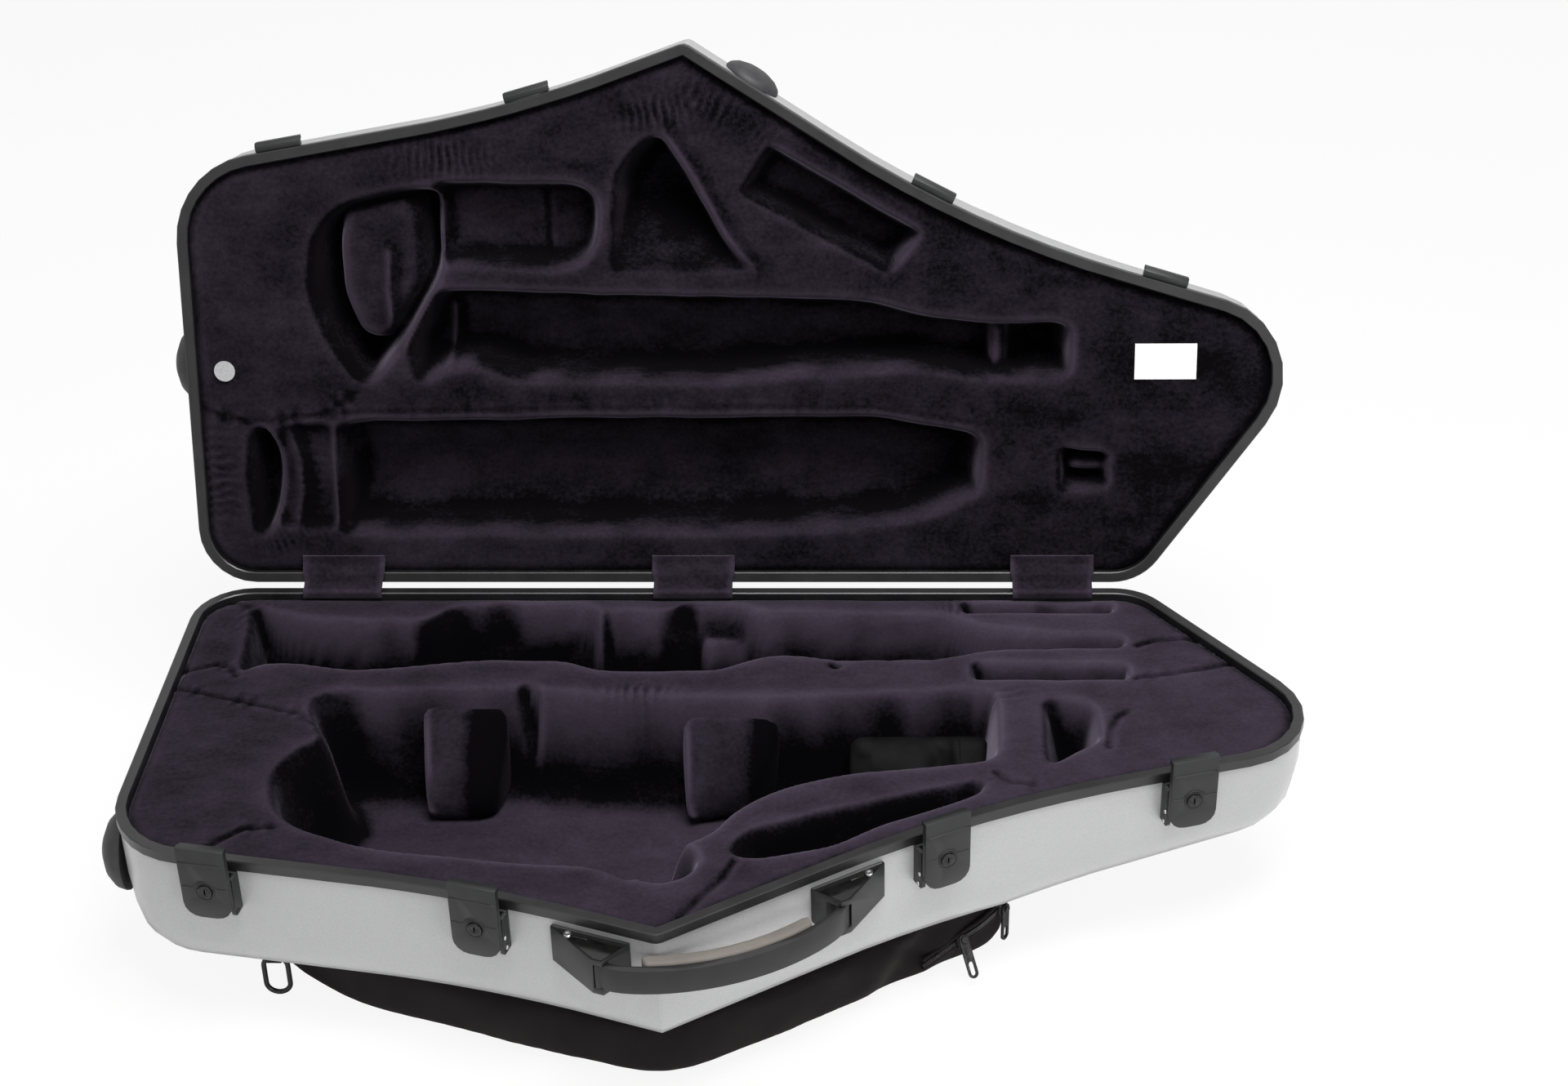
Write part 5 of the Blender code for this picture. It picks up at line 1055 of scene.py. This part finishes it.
# %% Cloth strips along a path
def smooth_path(points, count):
    """A smooth curve that passes through every point, as count places along it."""
    points = [Vector(p) for p in points]
    ends = [points[0] * 2 - points[1]] + points + [points[-1] * 2 - points[-2]]
    places = []
    for i in range(count):
        t = i / (count - 1) * (len(points) - 1)
        k = min(int(t), len(points) - 2)
        t -= k
        a, b, c, d = ends[k:k + 4]
        places.append(0.5 * (2 * b + (c - a) * t + (2 * a - 5 * b + 4 * c - d) * t * t
                             + (3 * b - a - 3 * c + d) * t ** 3))
    return places


def strip_along(path, across, width, thickness, steps=26):
    """A thick strip whose middle follows path. width gives half its width at each share of the way."""
    bm = bmesh.new()
    rows = len(path) - 1
    bmesh.ops.create_grid(bm, x_segments=steps, y_segments=rows, size=0.5)
    for vert in bm.verts:
        share = vert.co.y + 0.5
        vert.co = path[round(share * rows)] + across * (2 * vert.co.x * width(share))
    bmesh.ops.recalc_face_normals(bm, faces=bm.faces)
    bmesh.ops.solidify(bm, geom=list(bm.faces), thickness=thickness)
    bmesh.ops.recalc_face_normals(bm, faces=bm.faces)
    return bm


# %% The three flaps
# Points are (towards the lid, up) from the hinge line in mm: from under the base's plush, over both rims.
FLAP_LINE = [
    (-12.4, -3.8), (-12.2, -0.6), (-11.2, 1.1), (-7.6, 1.6), (-5.1, 2.35), (-2.9, 3.7), (-1.05, 5.55),
    (0.35, 8.0), (1.5, 10.3), (4.4, 13.8), (7.6, 17.4), (9.2, 21.0), (9.8, 23.2),
]
FLAP_THICKNESS = 1.4


def flap_width(share):
    """A flap's width at each share of the way: a little narrower at the base, and full at the lid."""
    return 0.955 + 0.045 * min(1, max(0, share - 0.5) * 5)


for name in ("left", "middle", "right"):
    low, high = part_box("hinge_cloth_" + name)
    centre = (low[0] + high[0]) / 2
    half = (high[0] - low[0]) / 2 - 0.2 * MM
    line = smooth_path([HINGE_LINE + Vector((centre, y * MM, z * MM)) for y, z in FLAP_LINE], 40)
    bm = strip_along(line, Vector((1, 0, 0)), lambda share: half * flap_width(share), FLAP_THICKNESS * MM)
    for vert in bm.verts:
        x = (vert.co.x - centre) / MM
        up = (vert.co.z - HINGE_LINE.z) / MM
        lift = 0.35 * noise.noise((x / 11, up / 5, centre * 40)) - 0.25
        vert.co.y -= lift * MM * min(1, max(0, (up - 2) / 4)) * min(1, max(0, (24 - up) / 6))
    flap = add_piece("plush_flap_" + name, bm, plush, None)
    # Painted highlight over the flap's round bends, and painted shade in its hollows and on faces turned
    # right.
    write_painted_light(flap, 0.30)
    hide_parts("hinge_cloth_" + name)
    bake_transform(flap)

# %% [markdown]
# ## The cloth pocket
#
# A flat bag of woven nylon is fixed under the base, and the open case stands on it. Its walls are soft:
# tucked in under the shell, bellied below, with slack folds at the right end, where a zip runs round the
# corner. The bag is swelled like the blocks with its top held, and then gets its folds, piping, zip and
# sliders.

# %% The bag
# Its plan outline, and the heights of its top and its floor from the rim plane.
POCKET_LINE = [(-350.2, 40), (-350.2, 285.1), (-270.2, 345), (-167.2, 374.9), (-30.8, 421.5),
               (171.6, 291.3), (218.2, 264.9), (218.2, 40)]
POCKET_TOP, POCKET_FLOOR = -110.6, -162.1
bag_middle = np.mean(POCKET_LINE, 0)


def shrunk(outline, inset):
    """The outline with each edge moved in by inset."""
    line = np.asarray(outline, float)
    grown = []
    for a, b, c in zip(np.roll(line, 1, 0), line, np.roll(line, -1, 0)):
        before, after = (b - a) / np.linalg.norm(b - a), (c - b) / np.linalg.norm(c - b)
        inward = np.array((before[1] + after[1], -before[0] - after[0]))
        inward *= math.copysign(1, inward @ (bag_middle - b))
        sharpness = max(0.5, math.sqrt((1 + before @ after) / 2))
        grown.append(b + inward / np.linalg.norm(inward) * inset / sharpness)
    return np.array(grown)


def ring_stack(levels, corner):
    """A closed body through plan outlines at given heights."""
    bm = bmesh.new()
    edges = None
    for inset, z in levels:
        line = rounded(shrunk(POCKET_LINE, inset), corner)
        verts = [bm.verts.new((x, -v, z)) for x, v in line]
        ring = [bm.edges.new(pair) for pair in zip(verts, verts[1:] + verts[:1])]
        if edges is None:
            bmesh.ops.edgenet_fill(bm, edges=ring)
        else:
            bmesh.ops.bridge_loops(bm, edges=edges + ring)
        edges = ring
    bmesh.ops.edgenet_fill(bm, edges=edges)
    bmesh.ops.recalc_face_normals(bm, faces=bm.faces)
    return bm


# Each level of the bag is an inset and a height.
bag_bm = ring_stack([(6.0, POCKET_TOP), (3.5, POCKET_TOP - 5), (2.0, -124), (1.5, -138), (2.5, -148),
                     (6, -155), (12, -160), (20, POCKET_FLOOR)], 38)
bag = add_piece("cloth_pocket", placed(bag_bm, TO_BASE), pocket_cloth, "base")
bag_top, bag_floor = HINGE_LINE.z + POCKET_TOP * MM, HINGE_LINE.z + POCKET_FLOOR * MM
swollen(bag, voxel_mm=5, pressure=2.5, cap_mm=3.5,
        hold=lambda rest: (rest[:, 2] > bag_top - 4 * MM) | (rest[:, 2] < bag_floor + 3 * MM))
refined(bag)

# %% Slack folds of the bag
# Each term is in millimetres: two bulges of the wall, wandering folds, slack ripples and a tuck at the
# right end.
wall_line = rounded(POCKET_LINE, 26)
points = np.array([((TO_BASE.inverted() @ v.co) / MM)[:] for v in bag.data.vertices])
plan_points = points[:, :2] * (1, -1)
inward = depth_inside(plan_points, wall_line)
normals = [v.normal.copy() for v in bag.data.vertices]
for vert, (x, y, z), gap, normal in zip(bag.data.vertices, points, inward, normals):
    up = (z - POCKET_FLOOR) / (POCKET_TOP - POCKET_FLOOR)
    wall = max(0.0, 1 - gap / 26) * max(0.0, min(1.0, 6 * up)) * max(0.0, min(1.0, 8 * (1 - up)))
    round_x = x * 0.8 + y * 0.6
    bulge = 6 * math.exp(-(((x - 70) / 55) ** 2)) + 7 * math.exp(-(((x + 140) / 60) ** 2))
    folds = 2.2 * noise.noise((round_x / 34, up * 1.4, 3.1))
    folds += 0.8 * noise.noise((round_x / 15, up * 2.2, 8.4))
    slack = 4.2 * math.exp(-(((x - 140) / 42) ** 2)) * math.sin((x - 0.9 * (z - POCKET_TOP)) / 9.5)
    tuck = 2.6 * math.exp(-(((x - 128 - 0.8 * (POCKET_TOP - z)) / 7) ** 2))
    push = wall * (folds + slack * 0.9 - tuck - 0.8 + bulge * (1 - 0.5 * up)) * MM
    vert.co.x += normal.x * push
    vert.co.y += normal.y * push
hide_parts("pocket")
print("bag dressed")

# %% Tubes along a path
def tube_along(bm, path, radius, sides=8, closed=False):
    """Adds a tube round a path of points."""
    places = [Vector(p) for p in path]
    edges, first = None, None
    for i, place in enumerate(places):
        ahead = places[(i + 1) % len(places)] if closed or i + 1 < len(places) else place
        behind = places[i - 1] if closed or i else place
        along = (ahead - behind).normalized()
        side = along.cross(Vector((0, 0, 1)) if abs(along.z) < 0.95 else Vector((0, 1, 0))).normalized()
        over = side.cross(along)
        verts = []
        for step in range(sides):
            angle = 2 * math.pi * step / sides
            spoke = side * radius * math.cos(angle) + over * radius * math.sin(angle)
            verts.append(bm.verts.new(place + spoke))
        ring = [bm.edges.new(pair) for pair in zip(verts, verts[1:] + verts[:1])]
        if edges is None:
            first = ring
            if not closed:
                bmesh.ops.edgenet_fill(bm, edges=ring)
        else:
            bmesh.ops.bridge_loops(bm, edges=edges + ring)
        edges = ring
    if closed:
        bmesh.ops.bridge_loops(bm, edges=edges + first)
    else:
        bmesh.ops.edgenet_fill(bm, edges=edges)


# %% Zip and piping round the right end
def wall_place(x, v, z, out):
    """A place on the bag's wall near (x, v), out millimetres proud of it."""
    _, (spot,) = nearest_on(np.array([(x, v)], float), wall_line)
    away = spot - bag_middle
    normal = Vector((away[0], -away[1], 0)).normalized()
    return TO_BASE @ (Vector((spot[0], -spot[1], z)) * MM) + normal * out * MM


# Points of the zip are x, distance from the hinge and height. The sizes of piping and teeth are in mm too.
ZIP_LINE = [
    (218, 70, -117.5), (218, 150, -117.5), (218, 225, -117.5), (218, 252, -118), (213.5, 266, -119.5),
    (205, 274, -122), (195, 279, -126.5), (181.5, 288.3, -131.5), (168, 294, -137), (152, 303, -143),
]
PIPING_RADIUS = 1.5
PIPING_OFFSET = 4.4
TEETH = 210
TOOTH = (1.1, 1.3, 2.6)
zip_path = smooth_path([wall_place(x, v, z, -1.2) for x, v, z in ZIP_LINE], 90)
for name, offset in (("zip_piping_upper", PIPING_OFFSET), ("zip_piping_lower", -PIPING_OFFSET)):
    bm = bmesh.new()
    tube_along(bm, [place + Vector((0, 0, offset * MM)) for place in zip_path], PIPING_RADIUS * MM)
    bmesh.ops.recalc_face_normals(bm, faces=bm.faces)
    piping = add_piece(name, bm, pocket_cloth, "base")


def small_block(bm, place, turn, size_mm):
    """Adds a block of a size in mm, turned and put in its place."""
    size = Matrix.Diagonal([length * MM for length in size_mm] + [1])
    bmesh.ops.create_cube(bm, size=1, matrix=Matrix.Translation(place) @ turn @ size)


# Teeth of the two tapes lie alternately above and below the middle.
bm = bmesh.new()
inside_bag = TO_BASE @ (Vector((bag_middle[0], -bag_middle[1], -130)) * MM)
teeth = smooth_path(zip_path, TEETH)
for i, place in enumerate(teeth):
    along = (teeth[min(i + 1, TEETH - 1)] - teeth[max(i - 1, 0)]).normalized()
    away = along.cross(Vector((0, 0, 1))).normalized()
    if away.dot(place - inside_bag) < 0:
        away.negate()
    turn = Matrix((along, away, along.cross(away))).transposed().to_4x4()
    shift = 0.9 * MM * (1 if i % 2 else -1)
    small_block(bm, place + away * 1.0 * MM + Vector((0, 0, shift)), turn, TOOTH)
bmesh.ops.recalc_face_normals(bm, faces=bm.faces)
chain = add_piece("zip_teeth", bm, black_steel, "base", smooth=False)

# %% Sliders under the two pulls
# A slider's size is in millimetres. Each pull swings on a peg of its slider: the peg's place in metres, and
# the way that it points.
SLIDER = (8.5, 12, 5)
PULLS = {
    "upper": ((0.213, -0.0456, 0.0438), (0.790, -0.613, 0)),
    "lower": ((0.1815, -0.0683, 0.0313), (0.4035, -0.7129, 0.5736)),
}
for name, (peg, out) in PULLS.items():
    away = Vector(out).normalized()
    side = away.cross(Vector((0, 0, 1))).normalized()
    turn = Matrix.Translation(peg) @ Matrix((side, away.cross(side), away)).transposed().to_4x4()
    bm = bmesh.new()
    small_block(bm, (0, 0, -2.6 * MM), Matrix.Identity(4), SLIDER)
    bmesh.ops.bevel(bm, geom=list(bm.edges), offset=1.3 * MM, segments=3, profile=0.5, affect="EDGES",
                    material=-1)
    for radius, depth, middle in ((1.15, 6.0, 0.2), (2.5, 1.1, 3.2)):
        bmesh.ops.create_cone(bm, cap_ends=True, segments=20, radius1=radius * MM, radius2=radius * MM * 0.94,
                              depth=depth * MM, matrix=Matrix.Translation((0, 0, middle * MM)))
    bmesh.ops.transform(bm, matrix=turn, verts=bm.verts)
    slider = add_piece("zip_slider_" + name, bm, black_steel, "base")
    slider.data.set_sharp_from_angle(angle=math.radians(40))
print("sliders on", len(PULLS), "pegs")

# %% The ring's webbing tab
# A short loop of webbing, sewn on under the shell, goes round the ring's upper wire. The ring's place is in
# metres. Points of the loop are y from the ring and height above the floor, in millimetres.
RING_X, RING_Y = -0.3282, -0.11
TAB_WIDTH, TAB_THICKNESS = 10.2, 1.2
TAB_LOOP = [(4.9, 51.9), (4.9, 49.5), (4.8, 46.6), (3.2, 43.3), (0, 42.0), (-3.2, 43.3), (-4.8, 46.6),
            (-4.9, 49.5), (-4.9, 51.9)]
loop = smooth_path([(RING_X, RING_Y + y * MM, z * MM) for y, z in TAB_LOOP], 40)
strip = strip_along(loop, Vector((1, 0, 0)), lambda share: TAB_WIDTH / 2 * MM, TAB_THICKNESS * MM, 6)
tab = add_piece("webbing_tab", strip, pocket_cloth, "base")
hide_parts("ring_tab")
print("tab loops round the ring")

# %% The ring, a rounder wire
# The wire's middle line is an oval: two half circles with straight sides between them. BEND is their radius
# and WIRE the wire's own. Then come the heights of their middles. All are in millimetres.
BEND, WIRE = 9, 1.9
BEND_TOP, BEND_BOTTOM = 38, 22
ring_line = [(RING_X + BEND * MM * math.cos(a), RING_Y,
              (BEND_TOP if a < math.pi else BEND_BOTTOM) * MM + BEND * MM * math.sin(a))
             for a in np.linspace(0, 2 * math.pi, 49)[:-1]]
bm = bmesh.new()
tube_along(bm, ring_line, WIRE * MM, 16, closed=True)
bmesh.ops.recalc_face_normals(bm, faces=bm.faces)
wire = add_piece("oval_ring", bm, black_steel, "ring")
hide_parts("hanging_ring")

# %% [markdown]
# ## Finer hard parts
#
# A moulded part never has a sharp edge, and a CAD mesh's flats show where the real surface is round. Each
# of these parts is a merged copy of its CAD mesh: its sharp edges get a small bevel, its curved sides are
# shaded smooth, and it stands in for the CAD node at exactly the same place. Only the grip is swelled as
# well.

# %% A refined copy of a CAD node
def merged_copy(name):
    """The CAD node's mesh with its loose triangles joined and flat faces made whole."""
    bm = bmesh.new()
    bm.from_mesh(frame["nodes"][name].data)
    bmesh.ops.remove_doubles(bm, verts=bm.verts, dist=1e-6)
    bmesh.ops.dissolve_limit(bm, angle_limit=math.radians(1.0), verts=bm.verts, edges=bm.edges)
    return bm


BEVEL_OVER_DEG = 30
SMOOTH_UNDER_DEG = 40


def sharp_edges(bm):
    """The edges where two faces meet at more than BEVEL_OVER_DEG."""
    limit = math.radians(BEVEL_OVER_DEG)
    return [e for e in bm.edges if len(e.link_faces) == 2 and e.calc_face_angle() > limit]


def refined_node(name, material, body, bevel_mm=0.0, shape=None):
    """Replaces a CAD node by a finer copy. shape changes the merged mesh before its edges are rounded."""
    bm = merged_copy(name)
    if shape:
        shape(bm)
    if bevel_mm:
        bmesh.ops.bevel(bm, geom=sharp_edges(bm), offset=bevel_mm * MM, segments=2, profile=0.5,
                        affect="EDGES", material=-1, clamp_overlap=True)
    piece = add_piece("fine_" + name, bm, material, body)
    piece.data.set_sharp_from_angle(angle=math.radians(SMOOTH_UNDER_DEG))
    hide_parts(name)
    return piece


def fuller_grip(bm):
    """Swells the foam grip inwards, towards the hand's room, and over the strap's upper edge."""
    normals = {vert: vert.normal.copy() for vert in bm.verts}
    for vert, normal in normals.items():
        if normal.y > 0.2:
            vert.co += Vector((normal.x, normal.y, 0)).normalized() * 5 * MM
        vert.co.z += 2.5 * MM * max(normal.z, 0)


# Each part's edges are rounded by the millimetres that its line gives last.
LATCHES = range(1, 5)
for body in ("base", "lid"):
    refined_node(body + "_shell", shell_lacquer, body)
    refined_node(body + "_rim", rim_rubber, body)
for name, body in (("foot_base_end", "base"), ("foot_lid_end", "lid"), ("foot_lid_nose", "lid")):
    refined_node(name, foot_rubber, body, 1.2)
for i in LATCHES:
    refined_node(f"latch_lever_{i}", latch_nylon, f"lever_{i}", 0.9)
    refined_node(f"latch_bracket_{i}", latch_nylon, "base", 0.35)
    refined_node(f"keeper_{i}", latch_nylon, "lid", 0.3)
refined_node("handle_strap", strap_rubber, "base", 0.8)
refined_node("handle_grip", grip_foam, "base", 2.2, shape=fuller_grip)
for name, body in (("zip_pull_upper", "pull_upper"), ("zip_pull_lower", "pull_lower")):
    refined_node(name, black_steel, body, 0.35)
for i in LATCHES:
    refined_node(f"lock_cylinder_{i}", black_steel, f"cylinder_{i}", 0.35)

# %% Handle brackets with a sunk polished plate
def sunk_top(bm):
    """Presses the bracket's upper face in a little, inside a raised edge."""
    top = max((f for f in bm.faces if f.normal.z > 0.9), key=lambda f: f.calc_area())
    bmesh.ops.inset_individual(bm, faces=[top], thickness=2.0 * MM, depth=-1.1 * MM)
    floors.append([vert.co.copy() for vert in top.verts])


# The handle's middle along the case, in metres.
HANDLE_MIDDLE_X = 0.013
floors = []
for side in ("left", "right"):
    name = "handle_bracket_" + side
    refined_node(name, latch_nylon, "base", 0.7, shape=sunk_top)
    floor_points = floors[-1]
    middle_point = sum(floor_points, Vector()) / len(floor_points)
    sunk = Vector((0, 0, -0.1 * MM))
    bm = bmesh.new()
    face = bm.faces.new([bm.verts.new(middle_point.lerp(point, 0.985) + sunk) for point in floor_points])
    grown = bmesh.ops.extrude_face_region(bm, geom=[face])["geom"]
    for vert in (g for g in grown if isinstance(g, bmesh.types.BMVert)):
        vert.co.z += 0.45 * MM
    bmesh.ops.recalc_face_normals(bm, faces=bm.faces)
    inlay = add_piece("bracket_inlay_" + side, bm, glossy_inlay, "base", smooth=False)
    # The screw sits near the end away from the handle, and a moulded rib lies beside it.
    far = max(floor_points, key=lambda p: abs(p.x - HANDLE_MIDDLE_X))
    inner = sorted(floor_points, key=lambda p: (p - far).length)[-2:]
    inner = max(inner, key=lambda p: p.y)
    along = (inner - far).normalized()
    across = Vector((along.y, -along.x, 0))
    if across.y > 0:
        across.negate()
    level = floor_points[0].z + 0.35 * MM
    spot = far + along * 13 * MM + across * 4.2 * MM
    bm = bmesh.new()
    bmesh.ops.create_cone(bm, cap_ends=True, segments=28, radius1=3.1 * MM, radius2=2.6 * MM, depth=1.1 * MM,
                          matrix=Matrix.Translation((spot.x, spot.y, level + 0.5 * MM)))
    top = max(bm.faces, key=lambda f: f.calc_center_median().z)
    bmesh.ops.inset_individual(bm, faces=[top], thickness=1.1 * MM, depth=0)
    bmesh.ops.inset_individual(bm, faces=[top], thickness=0.1 * MM, depth=-0.8 * MM)
    screw = add_piece("bracket_screw_" + side, bm, nickel, "base", smooth=False)
    bm = bmesh.new()
    spot = far + along * 23 * MM + across * 4.6 * MM
    turn = Matrix((along, across, Vector((0, 0, 1)))).transposed().to_4x4()
    small_block(bm, (spot.x, spot.y, level + 0.2 * MM), turn, (11, 1.7, 0.8))
    bmesh.ops.bevel(bm, geom=list(bm.edges), offset=0.3 * MM, segments=2, profile=0.5, affect="EDGES",
                    material=-1)
    bmesh.ops.recalc_face_normals(bm, faces=bm.faces)
    rib = add_piece("bracket_rib_" + side, bm, glossy_inlay, "base")
print("two handle brackets, each with a plate, a screw and a rib")

# %% Latch faces: hook ridge, lock ring and rivets
# Sizes are in millimetres from the lock's middle: a ridge that arches over it, a ring round it, a line near
# the lever's top, and two domed rivets on the side of each bracket.
HUMP_RADIUS, RING_RADIUS = 9.2, 7.0
for i in LATCHES:
    lock = next(joint for joint in frame["joints"] if joint["name"] == f"lock_{i}")
    centre, away = Vector(lock["pos_m"]), Vector(lock["axis"])
    away.z = 0
    away.normalize()
    if away.y > 0:
        away.negate()
    along = Vector((0, 0, 1)).cross(away).normalized()
    low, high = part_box(f"latch_lever_{i}")
    lever = merged_copy(f"latch_lever_{i}")
    plate = max((f for f in lever.faces if f.normal.dot(away) > 0.98), key=lambda f: f.calc_area())
    front = plate.calc_center_median().dot(away)
    width = max(abs((v.co - centre).dot(along)) for v in plate.verts)
    lever.free()

    def on_plate(side_mm, z, proud_mm):
        flat = centre + along * side_mm * MM
        flat += away * (front + proud_mm * MM - flat.dot(away))
        return Vector((flat.x, flat.y, z))

    arc = [(-width / MM + 1.2, 3.4), (-12.5, 3.4)]
    arc += [(HUMP_RADIUS * math.cos(a), HUMP_RADIUS * math.sin(a) - 0.6)
            for a in np.linspace(math.radians(155), math.radians(25), 11)]
    arc += [(12.5, 3.4), (width / MM - 1.2, 3.4)]
    bm = bmesh.new()
    tube_along(bm, smooth_path([on_plate(x, centre.z + z * MM, 0.05) for x, z in arc], 60), 0.55 * MM, 6)
    ring = [on_plate(x, centre.z + z * MM, 0.0) for x, z in oval((0, 0), (RING_RADIUS, RING_RADIUS), 32)]
    tube_along(bm, ring, 0.5 * MM, 6, closed=True)
    reach = width / MM - 0.8
    edge = [on_plate(x, high[2] - 12.5 * MM, 0.05) for x in np.linspace(-reach, reach, 12)]
    tube_along(bm, edge, 0.7 * MM, 6)
    bmesh.ops.recalc_face_normals(bm, faces=bm.faces)
    relief = add_piece(f"latch_relief_{i}", bm, latch_nylon, f"lever_{i}")
    bracket = merged_copy(f"latch_bracket_{i}")
    sides = [f for f in bracket.faces if abs(f.normal.dot(along)) > 0.98 and f.calc_area() > 2e-4]
    ear = max(sides, key=lambda f: f.calc_center_median().dot(away))
    spot, normal = ear.calc_center_median(), ear.normal.copy()
    bracket.free()
    turn = normal.to_track_quat("Z", "Y").to_matrix().to_4x4()
    bm = bmesh.new()
    for lift, out in ((5.5, 0.6), (-4.5, -1.4)):
        place = spot + Vector((0, 0, lift * MM)) + away * out * MM
        dome = Matrix.Translation(place) @ turn @ Matrix.Diagonal((1, 1, 0.5, 1))
        bmesh.ops.create_uvsphere(bm, u_segments=18, v_segments=10, radius=1.7 * MM, matrix=dome)
    rivets = add_piece(f"latch_rivets_{i}", bm, nickel, "base")
print("latches and brackets detailed")
